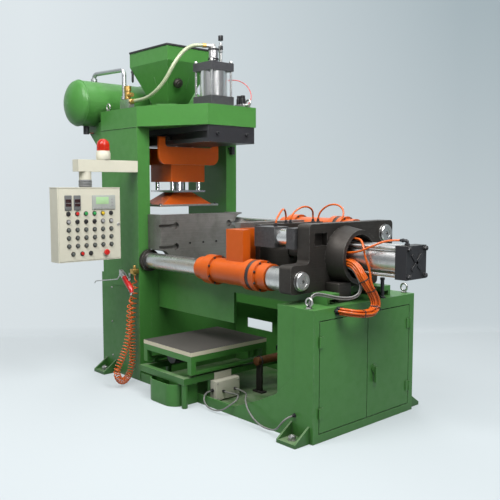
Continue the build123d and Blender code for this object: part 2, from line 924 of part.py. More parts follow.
def guide_sleeve():
    """Near sleeve: gland, clamp ring, tube, bolted joint and foot, with the arm to the platen."""
    y, z = bar_places[0]
    steps = [
        (sleeve_start, sleeve_gland_end, sleeve_gland_radius),
        (sleeve_gland_end, sleeve_clamp_end, sleeve_flange_radius),
        (sleeve_clamp_end, sleeve_joint_start, sleeve_tube_radius),
        (sleeve_joint_start, sleeve_joint_end, sleeve_flange_radius),
        (sleeve_joint_end, sleeve_ring_end, sleeve_ring_radius),
        (sleeve_ring_end, sleeve_foot_end, sleeve_flange_radius),
        (sleeve_foot_end, sleeve_end, sleeve_tube_radius),
    ]
    sleeve = bar("X", *steps[0], y, z)
    for step in steps[1:]:
        sleeve += bar("X", *step, y, z)
    sleeve += block(arm_plate_start, arm_plate_start + arm_plate_thickness, -arm_plate_outer_y, -arm_plate_inner_y,
                    z, arm_plate_top)
    sleeve += block(arm_plate_start, arm_plate_end, -arm_plate_outer_y, -arm_plate_outer_y + arm_foot_width,
                    z, arm_plate_top)
    bore = bar("X", sleeve_start - cut_overrun, sleeve_end + cut_overrun, bar_radius + running_fit, y, z)
    return sleeve - bore


def guide_sleeves():
    return both_turns(guide_sleeve())


def ejector_plate():
    back = ejector_plate_start
    front = back - ejector_plate_thickness
    plate = block(front, back, -ejector_plate_half, ejector_plate_half, ejector_plate_bottom, ejector_plate_top)
    for dy in (-ejector_post_y, ejector_post_y):
        for dz in (-ejector_post_z, ejector_post_z):
            plate += bar("X", platen_back, front, ejector_post_radius, dy, clamp_height + dz)
    return plate - bar("X", front - cut_overrun, back + cut_overrun, clamp_rod_radius + travel_gap,
                       0, clamp_height)


def ejector_cylinder():
    y, z = -ejector_y, clamp_height + ejector_z_offset
    half = ejector_block_side / 2
    body = block(ejector_plate_start, ejector_block_end, y - half, y + half, z - half, z + half)
    body += bar("X", ejector_block_end, ejector_barrel_end, ejector_barrel_radius, y, z)
    return body + block(ejector_barrel_end, ejector_end, y - half, y + half, z - half, z + half)


def ejector_cylinders():
    return both_turns(ejector_cylinder())


def fixed_platen():
    plate = block(fixed_back, fixed_face, -fixed_half, fixed_half, fixed_bottom, fixed_top)
    for side in (-1, 1):
        low, high = sorted((side * fixed_half, side * (fixed_half - fixed_rib)))
        plate += block(column_front, fixed_back, low, high, fixed_bottom, fixed_top)
    for y, z in bar_places:
        plate -= bar("X", column_front - cut_overrun, fixed_face + cut_overrun,
                     bar_flange_radius + travel_gap, y, z)
    for cut in platen_slots(fixed_face, -1, fixed_half, fixed_bottom, fixed_top):
        plate -= cut
    for dy in (-ejector_hole_pitch, 0, ejector_hole_pitch):
        plate -= bar("X", fixed_back - cut_overrun, fixed_face + cut_overrun, ejector_hole_radius,
                     dy, clamp_height)
    return plate


def blow_chamber():
    body = block(blow_back + yoke_plate, blow_front - yoke_plate, -chamber_half, chamber_half,
                 chamber_bottom, chamber_top)
    return body + bar("Z", chamber_top, chamber_top + inlet_height, inlet_radius, blow_centre, 0)


def hanger_yoke():
    inner = yoke_half_width - yoke_arm_width
    points = [
        (-yoke_half_width, yoke_bottom), (yoke_half_width, yoke_bottom), (yoke_half_width, yoke_top), (inner, yoke_top),
        (inner, yoke_saddle), (-inner, yoke_saddle), (-inner, yoke_top), (-yoke_half_width, yoke_top),
    ]
    face = outline(points)
    face = fillet([v for v in face.vertices() if abs(v.Y - yoke_bottom) < seat_gap], yoke_corner)
    face = fillet([v for v in face.vertices() if abs(v.Y - yoke_saddle) < seat_gap], yoke_saddle_corner)
    front = prism("X", face, blow_front - yoke_plate, blow_front)
    back = prism("X", face, blow_back, blow_back + yoke_plate)
    return Compound(children=[front, back])


def yoke_rollers():
    inner = yoke_half_width - yoke_arm_width
    height = block_bottom + groove_floor_height + roller_radius + seat_gap
    tread = block_half - (groove_depth - roller_length) / 2
    rollers = []
    for x in (blow_back + yoke_plate / 2, blow_front - yoke_plate / 2):
        wheel = bar("Y", -tread, -tread + roller_length, roller_radius, x, height)
        wheel += bar("Y", -inner, -tread, axle_radius, x, height)
        rollers += [wheel, mirrored(wheel)]
    return Compound(children=rollers)


def blow_pillars():
    steel = block(blow_centre - blow_plate_half, blow_centre + blow_plate_half, -blow_plate_half,
                  blow_plate_half, blow_plate_bottom, blow_plate_top)
    for dx in (-pillar_offset_x, pillar_offset_x):
        for dy in (-pillar_offset_y, pillar_offset_y):
            steel += bar("Z", blow_plate_top, chamber_bottom, pillar_radius, blow_centre + dx, dy)
    return steel + bar("Z", blow_plate_top, chamber_bottom, bush_radius, blow_centre, 0)


def blow_cone():
    low = Pos(blow_centre, 0, cone_bottom) * Rectangle(cone_bottom_depth, cone_bottom_width)
    high = Pos(blow_centre, 0, blow_plate_bottom) * Rectangle(cone_top_depth, cone_top_width)
    flange = block(blow_back, blow_front, -blow_flange_half, blow_flange_half, blow_flange_bottom, cone_bottom)
    return loft([low, high]) + flange


def tray_board_panel():
    return block(tray_left, tray_right, tray_front, tray_back, tray_top - tray_board, tray_top)


def tray_trolley():
    top = tray_top - tray_board
    low = top - trolley_angle
    foot = top - trolley_leg

    def ring(z_low, z_high):
        outside = block(tray_left, tray_right, tray_front, tray_back, z_low, z_high)
        hollow = block(tray_left + trolley_sheet, tray_right - trolley_sheet, tray_front + trolley_sheet,
                       tray_back - trolley_sheet, z_low - cut_overrun, z_high + cut_overrun)
        return outside - hollow

    frame = ring(low, top)
    for x in (tray_left, tray_right - trolley_angle):
        for y in (tray_front, tray_back - trolley_angle):
            frame += block(x, x + trolley_angle, y, y + trolley_angle, foot, top)
        frame += block(x, x + trolley_angle, tray_front, tray_back, foot, foot + trolley_angle / 2)
    axle_height = tray_rail_top + wheel_radius + seat_gap
    for side in (-1, 1):
        centre = tray_x + side * rail_x_offset
        for y in (tray_front + wheel_inset, tray_back - wheel_inset):
            frame += bar("X", centre - wheel_length / 2, centre + wheel_length / 2, wheel_radius,
                         y, axle_height)
            low_x, high_x = sorted((centre, tray_x + side * (tray_length / 2 - trolley_sheet)))
            frame += block(low_x, high_x, y - axle_radius, y + axle_radius, axle_height, foot + axle_radius)
    return frame


def tray_motor():
    height = tray_top - tray_board - motor_radius
    return bar("Y", tray_front + trolley_angle, tray_front + trolley_angle + motor_length, motor_radius,
               tray_x, height)


def tray_rails():
    rails = None
    left = tray_x - rail_x_offset - tray_rail_width / 2
    right = tray_x + rail_x_offset + tray_rail_width / 2
    for x in (left, right - tray_rail_width):
        strip = block(x, x + tray_rail_width, tray_rail_front, plate_inner, tray_rail_bottom, tray_rail_top)
        rails = strip if rails is None else rails + strip
        middle = x + tray_rail_width / 2
        rails += bar("Z", bay_floor_height, tray_rail_bottom, rail_post_radius, middle,
                     -plate_inner + rail_post_inset)
        rails += bar("Z", bay_floor_height, tray_rail_bottom, rail_post_radius, middle,
                     plate_inner - rail_post_inset)
    rails += block(left, right, tray_rail_front, tray_rail_front + tray_rail_width,
                   tray_rail_bottom, tray_rail_top)
    return rails + bar("Z", 0, tray_rail_bottom, rail_post_radius, right - tray_rail_width / 2,
                       tray_rail_front + tray_rail_width / 2)


def front_pan():
    face = outline([(pan_left, -half_width), (pan_left, pan_front), (pan_right, pan_front),
                    (pan_right, -half_width)])
    corners = [v for v in face.vertices() if abs(v.Y - pan_front) < seat_gap]
    solid = prism("Z", fillet(corners, pan_corner), 0, pan_height)
    left, right = pan_left + pan_sheet, pan_right - pan_sheet
    front, back = pan_front + pan_sheet, -half_width - pan_sheet
    inner = outline([(left, back), (left, front), (right, front), (right, back)])
    corners = [v for v in inner.vertices() if abs(v.Y - front) < seat_gap]
    hollow = prism("Z", fillet(corners, pan_corner - pan_sheet), pan_sheet, pan_height + cut_overrun)
    return solid - hollow


def junction_box():
    side = tray_x + rail_x_offset + tray_rail_width / 2
    body = block(side, side + box_depth, box_front, box_front + box_length, box_top - box_height, box_top)
    tab = block(side, side + trolley_sheet, box_front + box_tab, box_front + box_length - box_tab,
                box_top, tray_rail_top)
    return body + tab


NODES = {
    "columns": columns, "column_cover": column_cover, "pedestal": pedestal,
    "near_side_plate": near_side_plate, "far_side_plate": far_side_plate, "cabinet": cabinet,
    "cabinet_left_door": cabinet_left_door, "cabinet_right_door": cabinet_right_door,
    "bed_rails": bed_rails, "bay_floor": bay_floor, "anchor_feet": anchor_feet,
    "press_head": press_head, "press_block": press_block, "press_cylinder": press_cylinder,
    "pilot_cylinder": pilot_cylinder, "level_sensor": level_sensor,
    "hopper": hopper, "hopper_base": hopper_base,
    "air_tank": air_tank, "tank_ends": tank_ends, "tank_saddles": tank_saddles,
    "air_pipe": air_pipe, "valve_block": valve_block, "air_valve": air_valve, "drain_valve": drain_valve,
    "control_arm": control_arm, "beacon": beacon, "control_panel": control_panel,
    "panel_screens": panel_screens, "panel_buttons": panel_buttons,
    "tie_bars": tie_bars, "tie_bar_nuts": tie_bar_nuts, "stop_collars": stop_collars,
    "end_plate": end_plate, "clamp_caps": clamp_caps, "clamp_barrel": clamp_barrel,
    "clamp_tie_rods": clamp_tie_rods, "clamp_rod": clamp_rod,
    "moving_platen": moving_platen, "guide_sleeves": guide_sleeves,
    "ejector_plate": ejector_plate, "ejector_cylinders": ejector_cylinders,
    "fixed_platen": fixed_platen,
    "blow_chamber": blow_chamber, "hanger_yoke": hanger_yoke, "yoke_rollers": yoke_rollers,
    "blow_pillars": blow_pillars, "blow_cone": blow_cone,
    "tray_board": tray_board_panel, "tray_trolley": tray_trolley, "tray_motor": tray_motor,
    "tray_rails": tray_rails, "front_pan": front_pan, "junction_box": junction_box,
}

os.makedirs("parts", exist_ok=True)
for name, make in NODES.items():
    export_step(make(), f"parts/{name}.step")
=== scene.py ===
"""Looks of a shell core machine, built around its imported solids. Metres, +Z up, origin on the floor."""

import logging
import math
from dataclasses import dataclass, field
from enum import Enum
from functools import reduce
from operator import add

import bmesh
import bpy
import numpy as np
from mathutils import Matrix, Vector


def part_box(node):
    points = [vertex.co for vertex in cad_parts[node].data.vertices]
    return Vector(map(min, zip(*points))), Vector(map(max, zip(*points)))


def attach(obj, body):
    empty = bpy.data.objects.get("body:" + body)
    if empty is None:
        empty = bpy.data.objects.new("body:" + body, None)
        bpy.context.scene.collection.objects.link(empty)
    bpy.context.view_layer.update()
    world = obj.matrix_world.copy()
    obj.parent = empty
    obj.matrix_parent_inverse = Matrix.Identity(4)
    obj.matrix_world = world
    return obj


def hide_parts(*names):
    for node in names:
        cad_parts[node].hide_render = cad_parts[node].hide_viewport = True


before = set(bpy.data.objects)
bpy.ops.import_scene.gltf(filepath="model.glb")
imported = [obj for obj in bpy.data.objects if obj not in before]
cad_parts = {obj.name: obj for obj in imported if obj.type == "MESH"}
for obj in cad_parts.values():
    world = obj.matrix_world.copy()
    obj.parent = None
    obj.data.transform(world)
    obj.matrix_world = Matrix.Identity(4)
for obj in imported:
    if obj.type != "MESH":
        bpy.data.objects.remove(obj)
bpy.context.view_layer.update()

LOG = logging.getLogger("shell_core_machine")
Array = np.ndarray
Colour = tuple[float, float, float]
Point = tuple[float, float, float]


# Shapes as arrays of points

@dataclass
class Shape:
    """Points and faces of one or more closed surfaces."""

    points: Array
    faces: list[list[int]]

    def __add__(self, other: "Shape") -> "Shape":
        """Both shapes side by side in one mesh."""
        shifted = [[i + len(self.points) for i in f] for f in other.faces]
        return Shape(np.vstack([self.points, other.points]), self.faces + shifted)

    def moved(self, offset: Point) -> "Shape":
        """The shape shifted by an offset."""
        return Shape(self.points + np.asarray(offset, float), self.faces)

    def turned(self, axis: str) -> "Shape":
        """The shape with its own +Z laid along a named axis such as 'X' or '-Y'."""
        return Shape(self.points @ AXES[axis].T, self.faces)

    def spun(self, degrees: float) -> "Shape":
        """The shape turned about its own Z axis."""
        c, s = math.cos(math.radians(degrees)), math.sin(math.radians(degrees))
        return Shape(self.points @ np.array([[c, -s, 0], [s, c, 0], [0, 0, 1.0]]).T, self.faces)

    def at_all(self, offsets: list[Point]) -> "Shape":
        """Copies of the shape at every offset: p(i, k) = p(i) + offset(k).

        Args:
            offsets: place of each copy.
        Returns:
            One shape that holds all the copies.
        """
        steps = np.asarray(offsets, float)
        points = (self.points[None] + steps[:, None]).reshape(-1, 3)
        count = len(self.points)
        faces = [[i + count * k for i in f] for k in range(len(steps)) for f in self.faces]
        return Shape(points, faces)


def joined(shapes: list[Shape]) -> Shape:
    """All the shapes side by side in one mesh."""
    return reduce(add, shapes)


AXES: dict[str, Array] = {
    "Z": np.eye(3),
    "-Z": np.diag([1.0, -1.0, -1.0]),
    "X": np.array([[0, 0, 1.0], [1.0, 0, 0], [0, 1.0, 0]]),
    "-X": np.array([[0, 0, -1.0], [-1.0, 0, 0], [0, 1.0, 0]]),
    "Y": np.array([[0, 1.0, 0], [0, 0, 1.0], [1.0, 0, 0]]),
    "-Y": np.array([[0, -1.0, 0], [0, 0, -1.0], [1.0, 0, 0]]),
}


def grid_faces(rows: int, columns: int, wrap_rows: bool = False) -> list[list[int]]:
    """Quads between neighbours of a rows by columns grid whose columns close on themselves.

    Args:
        rows: number of rings.
        columns: points in each ring.
        wrap_rows: whether the last ring joins the first one.
    Returns:
        Four point numbers for each face.
    """
    r, c = np.meshgrid(np.arange(rows if wrap_rows else rows - 1), np.arange(columns), indexing="ij")
    below, beside = (r + 1) % rows, (c + 1) % columns
    here, under = r * columns, below * columns
    quads = np.stack([here + c, here + beside, under + beside, under + c], -1)
    return quads.reshape(-1, 4).tolist()


def skin(rings: Array, wrap: bool = False) -> Shape:
    """Surface through a stack of rings: S(i, j) = rings[i, j], with the two ends closed by flat faces.

    Args:
        rings: array of shape (rings, points, 3).
        wrap: whether the last ring joins the first one, which leaves no ends.
    Returns:
        The closed shape.
    """
    rows, columns = rings.shape[:2]
    faces = grid_faces(rows, columns, wrap)
    if not wrap:
        last = (rows - 1) * columns
        faces += [list(range(columns))[::-1], list(range(last, last + columns))]
    return Shape(rings.reshape(-1, 3), faces)


def lathe(profile: list[tuple[float, float]], segments: int = 32, wrap: bool = False) -> Shape:
    """Surface of revolution about Z: S(u, v) = (r(v) cos u, r(v) sin u, h(v)).

    Args:
        profile: pairs of radius and height.
        segments: points round the axis.
        wrap: whether the profile closes on itself, as for a ring.
    Returns:
        The turned shape.
    """
    r, h = np.asarray(profile, float).T
    u = np.linspace(0, 2 * np.pi, segments, endpoint=False)
    level = np.outer(h, np.ones(segments))
    rings = np.stack([np.outer(r, np.cos(u)), np.outer(r, np.sin(u)), level], -1)
    return skin(rings, wrap=wrap)


def torus(ring: float, wire: float, segments: int = 32) -> Shape:
    """Ring in the XY plane: S(u, v) = ((R + a cos v) cos u, (R + a cos v) sin u, a sin v)."""
    v = np.linspace(0, 2 * np.pi, 12, endpoint=False)
    return lathe(list(zip(ring + wire * np.cos(v), wire * np.sin(v))), segments, wrap=True)


def rounded_outline(width: float, height: float, corner: float, steps: int = 5) -> Array:
    """Rectangle with round corners: four quarter arcs joined end to end.

    Args:
        width: size along the first axis.
        height: size along the second axis.
        corner: radius of the corners.
        steps: points on each arc.
    Returns:
        Points of shape (4 * steps, 2).
    """
    quarter = np.linspace(0, np.pi / 2, steps)
    angles = (np.arange(4)[:, None] * np.pi / 2 + quarter).ravel()
    signs = np.repeat([[1, 1], [-1, 1], [-1, -1], [1, -1]], steps, axis=0)
    centres = signs * (np.array([width, height]) / 2 - corner)
    return centres + corner * np.stack([np.cos(angles), np.sin(angles)], -1)


def slab(width: float, depth: float, height: float, corner: float = 0.004, edge: float = 0.002) -> Shape:
    """Rounded block on its base: a rounded outline carried up Z, drawn in along a quarter arc at both ends.

    Args:
        width: size along X.
        depth: size along Y.
        height: size along Z.
        corner: radius of the upright corners.
        edge: radius of the top and bottom edges.
    Returns:
        The block, centred on Z with its base at Z 0.
    """
    arc = np.linspace(0, np.pi / 2, 4)
    inset = np.concatenate([edge * (1 - np.sin(arc)), edge * (1 - np.cos(arc))])
    level = np.concatenate([edge * (1 - np.cos(arc)), height - edge * (1 - np.sin(arc))])
    rings = []
    for shrink, z in zip(inset, level):
        flat = rounded_outline(width - 2 * shrink, depth - 2 * shrink, max(corner - shrink, corner * 0.3))
        rings.append(np.column_stack([flat, np.full(len(flat), z)]))
    return skin(np.array(rings))


def hexagon(across: float, height: float) -> Shape:
    """Hexagon head: six-cornered rings with both rims chamfered by about an eighth of the height."""
    reach, cut = across / math.sqrt(3), height * 0.12
    return lathe([(reach * 0.92, 0), (reach, cut), (reach, height - cut), (reach * 0.9, height)], 6)


def bolt(across: float) -> Shape:
    """Hexagon head on a round washer with a chamfered stud end, standing on Z 0.

    Args:
        across: size across the hexagon's flats.
    Returns:
        The bolt.
    """
    washer = lathe([(across * 0.62, 0), (across * 0.62, across * 0.09), (across * 0.5, across * 0.12)], 20)
    stud = lathe([(across * 0.28, 0), (across * 0.28, across * 0.78), (across * 0.2, across * 0.84)], 14)
    return washer + hexagon(across, across * 0.55).moved((0, 0, across * 0.12)) + stud


def cap_screw(size: float) -> Shape:
    """Socket head screw: a turned head with a rounded rim and a round socket sunk into it."""
    head = size / 2
    return lathe([(head, 0), (head, size * 0.5), (head * 0.9, size * 0.6), (head * 0.52, size * 0.6),
                  (head * 0.5, size * 0.25), (0.0005, size * 0.24)], 18)


def eye_bolt(ring: float) -> Shape:
    """Lifting eye: a ring standing on a turned collar."""
    collar = lathe([(ring * 0.85, 0), (ring * 0.85, ring * 0.25), (ring * 0.4, ring * 0.5)], 20)
    return collar + torus(ring, ring * 0.28).turned("Y").moved((0, 0, ring * 1.55))


def swept(section: Array, path: Array, up: Point, close: bool = False) -> Shape:
    """Profile carried along a path: S(i, j) = path(i) + a(j) side(i) + b(j) top(i).

    The side is the tangent crossed with a fixed up vector, and the top is the side crossed with the tangent.

    Args:
        section: closed profile of shape (n, 2).
        path: points of shape (m, 3).
        up: direction that is never along the path.
        close: whether the path is a closed loop.
    Returns:
        The swept shape, capped at its ends where it is open.
    """
    path = np.asarray(path, float)
    if close:
        tangent = np.roll(path, -1, 0) - np.roll(path, 1, 0)
    else:
        tangent = np.gradient(path, axis=0)
    tangent /= np.linalg.norm(tangent, axis=1, keepdims=True)
    side = np.cross(tangent, np.asarray(up, float))
    side /= np.linalg.norm(side, axis=1, keepdims=True)
    top = np.cross(side, tangent)
    rings = path[:, None] + section[None, :, :1] * side[:, None] + section[None, :, 1:] * top[:, None]
    return skin(rings, wrap=close)


def tapered(path: Array, radii: Array, points: int = 16) -> Shape:
    """Round bar of changing thickness: S(i, u) = path(i) + r(i) (cos u side(i) + sin u top(i)).

    Args:
        path: points of shape (m, 3).
        radii: radius at each point.
        points: points round the bar.
    Returns:
        The bar with flat ends.
    """
    tangent = np.gradient(path, axis=0)
    tangent /= np.linalg.norm(tangent, axis=1, keepdims=True)
    least = np.eye(3)[int(np.argmin(np.abs(tangent).max(0)))]
    side = np.cross(tangent, least)
    side /= np.linalg.norm(side, axis=1, keepdims=True)
    top = np.cross(side, tangent)
    u = np.linspace(0, 2 * np.pi, points, endpoint=False)
    ring = np.cos(u)[None, :, None] * side[:, None] + np.sin(u)[None, :, None] * top[:, None]
    return skin(path[:, None] + radii[:, None, None] * ring)


def circle(radius: float, points: int = 12) -> Array:
    """Round profile: (r cos u, r sin u)."""
    u = np.linspace(0, 2 * np.pi, points, endpoint=False)
    return radius * np.stack([np.cos(u), np.sin(u)], -1)


# Shader node groups

class Graph:
    """Short calls that add and join shader nodes in one tree."""

    def __init__(self, tree: bpy.types.NodeTree) -> None:
        """Keeps the tree."""
        self.tree = tree

    def add(self, kind: str, inputs: dict | None = None, **settings: object) -> bpy.types.Node:
        """Adds a node.

        Args:
            kind: Blender's name of the node.
            inputs: value or socket for each input, by name or number.
            settings: the node's own properties.
        Returns:
            The node.
        """
        node = self.tree.nodes.new(kind)
        for key, value in settings.items():
            setattr(node, key, value)
        self.feed(node, inputs or {})
        return node

    def feed(self, node: bpy.types.Node, inputs: dict) -> None:
        """Sets or links a node's inputs.

        Args:
            node: the node.
            inputs: value or socket for each input, by name or number.
        """
        for key, value in inputs.items():
            if isinstance(value, bpy.types.NodeSocket):
                self.tree.links.new(value, node.inputs[key])
            else:
                node.inputs[key].default_value = value

    def maths(self, operation: str, first: object, second: object = 0.5) -> bpy.types.NodeSocket:
        """Result of a math node, held between 0 and 1."""
        node = self.add("ShaderNodeMath", {0: first, 1: second}, operation=operation, use_clamp=True)
        return node.outputs[0]

    def ramp(self, value: object, low: float, high: float) -> bpy.types.NodeSocket:
        """A value remapped so that low gives 0 and high gives 1."""
        return self.add("ShaderNodeMapRange", {"Value": value, "From Min": low, "From Max": high}).outputs[0]

    def between(self, value: object, low: float, high: float) -> bpy.types.NodeSocket:
        """A value from 0 to 1 remapped so that 0 gives low and 1 gives high."""
        return self.add("ShaderNodeMapRange", {"Value": value, "To Min": low, "To Max": high}).outputs[0]

    def bump(self, height: object, strength: float, distance: float) -> bpy.types.NodeSocket:
        """Normal bent by a height."""
        node = self.add("ShaderNodeBump", {"Height": height, "Strength": strength, "Distance": distance})
        return node.outputs[0]

    def mix(self, share: object, first: object, second: object) -> bpy.types.NodeSocket:
        """Mix of two colours by a share."""
        node = self.add("ShaderNodeMix", {"Factor": share, 6: first, 7: second}, data_type="RGBA")
        return node.outputs[2]

    def noise(self, scale: object, detail: float = 3.0, vector: object = None,
              rough: float = 0.55) -> bpy.types.NodeSocket:
        """Noise on the piece's own coordinates.

        Args:
            scale: size of the noise.
            detail: how many finer layers it has.
            vector: coordinates to use in place of the piece's own.
            rough: how strong the finer layers are.
        Returns:
            The noise's value.
        """
        place = vector if vector is not None else self.add("ShaderNodeTexCoord").outputs["Object"]
        return self.add("ShaderNodeTexNoise", {"Vector": place, "Scale": scale, "Detail": detail,
                                               "Roughness": rough}).outputs[0]


def new_group(name: str, inputs: list[tuple[str, str, object]], outputs: list[tuple[str, str]]
              ) -> tuple[bpy.types.NodeTree, Graph, bpy.types.Node, bpy.types.Node]:
    """Starts a shader node group.

    Args:
        name: the group's name.
        inputs: name, socket kind and default of each input.
        outputs: name and socket kind of each output.
    Returns:
        The tree, its graph, and the nodes that give its inputs and take its outputs.
    """
    tree = bpy.data.node_groups.new(name, "ShaderNodeTree")
    for label, kind, default in inputs:
        tree.interface.new_socket(label, in_out="INPUT", socket_type=kind).default_value = default
    for label, kind in outputs:
        tree.interface.new_socket(label, in_out="OUTPUT", socket_type=kind)
    graph = Graph(tree)
    return tree, graph, graph.add("NodeGroupInput"), graph.add("NodeGroupOutput")


NUMBER, COLOUR, VECTOR = "NodeSocketFloat", "NodeSocketColor", "NodeSocketVector"
WHITE = (1, 1, 1, 1)


def coat_group() -> bpy.types.NodeTree:
    """Sprayed paint: cloudy colour from wide noise, and a fine orange-peel height.

    Returns:
        The group.
    """
    tree, g, given, out = new_group(
        "sprayed_coat",
        [("Colour", COLOUR, WHITE), ("Cloud", NUMBER, 0.2), ("Roughness", NUMBER, 0.4)],
        [("Colour", COLOUR), ("Roughness", NUMBER), ("Height", NUMBER)])
    wide = g.ramp(g.noise(2.6, 4.0), 0.3, 0.7)
    close = g.ramp(g.noise(23.0, 3.0), 0.3, 0.7)
    both = g.maths("ADD", g.maths("MULTIPLY", wide, 0.65), g.maths("MULTIPLY", close, 0.35))
    blend = g.maths("MULTIPLY", both, given.outputs["Cloud"])
    darker = g.add("ShaderNodeHueSaturation", {"Color": given.outputs["Colour"], "Value": 0.55,
                                               "Saturation": 1.05})
    tone = g.mix(blend, given.outputs["Colour"], darker.outputs[0])
    rough = g.add("ShaderNodeMath", {0: g.maths("MULTIPLY", close, 0.16), 1: given.outputs["Roughness"]},
                  operation="ADD").outputs[0]
    g.feed(out, {"Colour": tone, "Roughness": rough, "Height": g.noise(330.0, 2.0)})
    return tree


def edge_wear_highlight_group() -> bpy.types.NodeTree:
    """Worn edges with a painted highlight: where a rounded normal leaves the true one, broken up by noise.

    Returns:
        The group.
    """
    tree, g, given, out = new_group("worn_and_highlit_edges", [("Width", NUMBER, 0.004), ("Amount", NUMBER, 0.5)],
                                    [("Mask", NUMBER)])
    soft = g.add("ShaderNodeBevel", {"Radius": given.outputs["Width"]}, samples=4).outputs[0]
    true = g.add("ShaderNodeNewGeometry").outputs["Normal"]
    same = g.add("ShaderNodeVectorMath", {0: soft, 1: true}, operation="DOT_PRODUCT").outputs["Value"]
    edge = g.ramp(same, 0.985, 0.86)
    patchy = g.ramp(g.noise(38.0, 5.0, rough=0.65), 0.42, 0.62)
    mask = g.maths("MULTIPLY", g.maths("MULTIPLY", edge, patchy), given.outputs["Amount"])
    g.feed(out, {"Mask": mask})
    return tree


def corner_shade_group() -> bpy.types.NodeTree:
    """Painted shade in corners: short-range occlusion broken up by noise, laid over a colour as a darker
    tone.

    Returns:
        The group.
    """
    tree, g, given, out = new_group(
        "painted_corner_shade",
        [("Colour", COLOUR, WHITE), ("Shade", COLOUR, (0.02, 0.02, 0.015, 1)),
         ("Amount", NUMBER, 0.5), ("Reach", NUMBER, 0.09)],
        [("Colour", COLOUR), ("Mask", NUMBER)])
    around = g.add("ShaderNodeAmbientOcclusion", {"Distance": given.outputs["Reach"]}, samples=6)
    hidden = g.ramp(around.outputs["AO"], 0.85, 0.25)
    # The noise only breaks up the painted shade.
    stain = g.ramp(g.noise(9.0, 5.0, rough=0.6), 0.3, 0.75)
    spread = g.maths("ADD", g.maths("MULTIPLY", stain, 0.6), 0.4)
    mask = g.maths("MULTIPLY", g.maths("MULTIPLY", hidden, spread), given.outputs["Amount"])
    g.feed(out, {"Colour": g.mix(mask, given.outputs["Colour"], given.outputs["Shade"]), "Mask": mask})
    return tree


def dust_group() -> bpy.types.NodeTree:
    """Settled dust: on faces that look up, thicker where wide noise gathers it.

    Returns:
        The group.
    """
    tree, g, given, out = new_group(
        "settled_dust", [("Colour", COLOUR, WHITE), ("Amount", NUMBER, 0.3)],
        [("Colour", COLOUR), ("Mask", NUMBER)])
    normal = g.add("ShaderNodeNewGeometry").outputs["Normal"]
    upward = g.ramp(g.add("ShaderNodeSeparateXYZ", {0: normal}).outputs["Z"], 0.5, 0.95)
    heap = g.ramp(g.noise(6.0, 6.0, rough=0.7), 0.35, 0.75)
    mask = g.maths("MULTIPLY", g.maths("MULTIPLY", upward, heap), given.outputs["Amount"])
    sandy = (0.42, 0.40, 0.33, 1)
    g.feed(out, {"Colour": g.mix(mask, given.outputs["Colour"], sandy), "Mask": mask})
    return tree


def grain_group() -> bpy.types.NodeTree:
    """Machined grain: noise drawn out along one axis, as a value and a height.

    Returns:
        The group.
    """
    tree, g, given, out = new_group("machined_grain", [("Stretch", VECTOR, (1.0, 1.0, 1.0))],
                                    [("Value", NUMBER), ("Height", NUMBER)])
    place = g.add("ShaderNodeTexCoord").outputs["Object"]
    drawn = g.add("ShaderNodeVectorMath", {0: place, 1: given.outputs["Stretch"]}, operation="MULTIPLY")
    fine = g.noise(1.0, 4.0, drawn.outputs[0])
    g.feed(out, {"Value": g.ramp(fine, 0.3, 0.7), "Height": fine})
    return tree


GROUPS: dict[str, bpy.types.NodeTree] = {
    "coat": coat_group(),
    # The edge group paints worn edges with a highlight, and the corner group paints shade in corners.
    "edge": edge_wear_highlight_group(),
    "corner_shade": corner_shade_group(),
    "dust": dust_group(),
    "grain": grain_group(),
}


# Finishes

class Grain(Enum):
    """Direction in which a machined face was worked, as a stretch of its noise."""

    ALONG_X = (3.0, 420.0, 420.0)
    ALONG_Y = (420.0, 3.0, 420.0)
    ROUND_X = (420.0, 14.0, 14.0)
    CAST = (70.0, 70.0, 70.0)


def four(colour: Colour) -> tuple[float, float, float, float]:
    """The colour with full alpha."""
    return (*colour, 1.0)


def group_node(g: Graph, name: str, inputs: dict) -> bpy.types.Node:
    """One of the shared groups, placed in a material."""
    return g.add("ShaderNodeGroup", inputs, node_tree=GROUPS[name])


def new_material(name: str) -> tuple[bpy.types.Material, Graph, bpy.types.Node]:
    """Starts a material.

    Args:
        name: the material's name.
    Returns:
        The material, its graph and its Principled shader.
    """
    material = bpy.data.materials.new(name)
    material.use_nodes = True
    return material, Graph(material.node_tree), material.node_tree.nodes["Principled BSDF"]


@dataclass(frozen=True)
class Paint:
    """Sprayed enamel with cloudy colour, worn edges with a painted highlight, painted shade in corners, and
    dust.
    """

    name: str
    colour: Colour
    rough: float = 0.34
    cloud: float = 0.3
    # The edge amount and colour paint worn edges with a highlight; the corner amount paints shade in corners.
    edge_wear_and_highlight: float = 0.35
    edge_mark_colour: Colour = (0.30, 0.31, 0.28)
    corner_shade: float = 0.55
    dust: float = 0.25
    peel: float = 0.05
    coat: float = 0.12

    def material(self) -> bpy.types.Material:
        """Builds the paint's node tree.

        Returns:
            The material.
        """
        material, g, shader = new_material(self.name)
        coat = group_node(g, "coat", {"Colour": four(self.colour), "Cloud": self.cloud,
                                      "Roughness": self.rough})
        # Painted shade: darker colour in corners and recesses, from short-range occlusion.
        corner_shade = group_node(g, "corner_shade", {"Colour": coat.outputs["Colour"], "Amount": self.corner_shade})
        dust = group_node(g, "dust", {"Colour": corner_shade.outputs["Colour"], "Amount": self.dust})
        # Worn edges with a painted highlight: the edge colour laid where the bevel finds an edge.
        edge = group_node(g, "edge", {"Width": 0.004, "Amount": self.edge_wear_and_highlight})
        colour = g.mix(edge.outputs["Mask"], dust.outputs["Colour"], four(self.edge_mark_colour))
        rough = g.maths("ADD", coat.outputs["Roughness"], g.maths("MULTIPLY", dust.outputs["Mask"], 0.5))
        g.feed(shader, {"Base Color": colour, "Roughness": rough,
                        "Normal": g.bump(coat.outputs["Height"], self.peel, 0.002),
                        "Coat Weight": self.coat, "Coat Roughness": 0.12, "Specular IOR Level": 0.35})
        return material


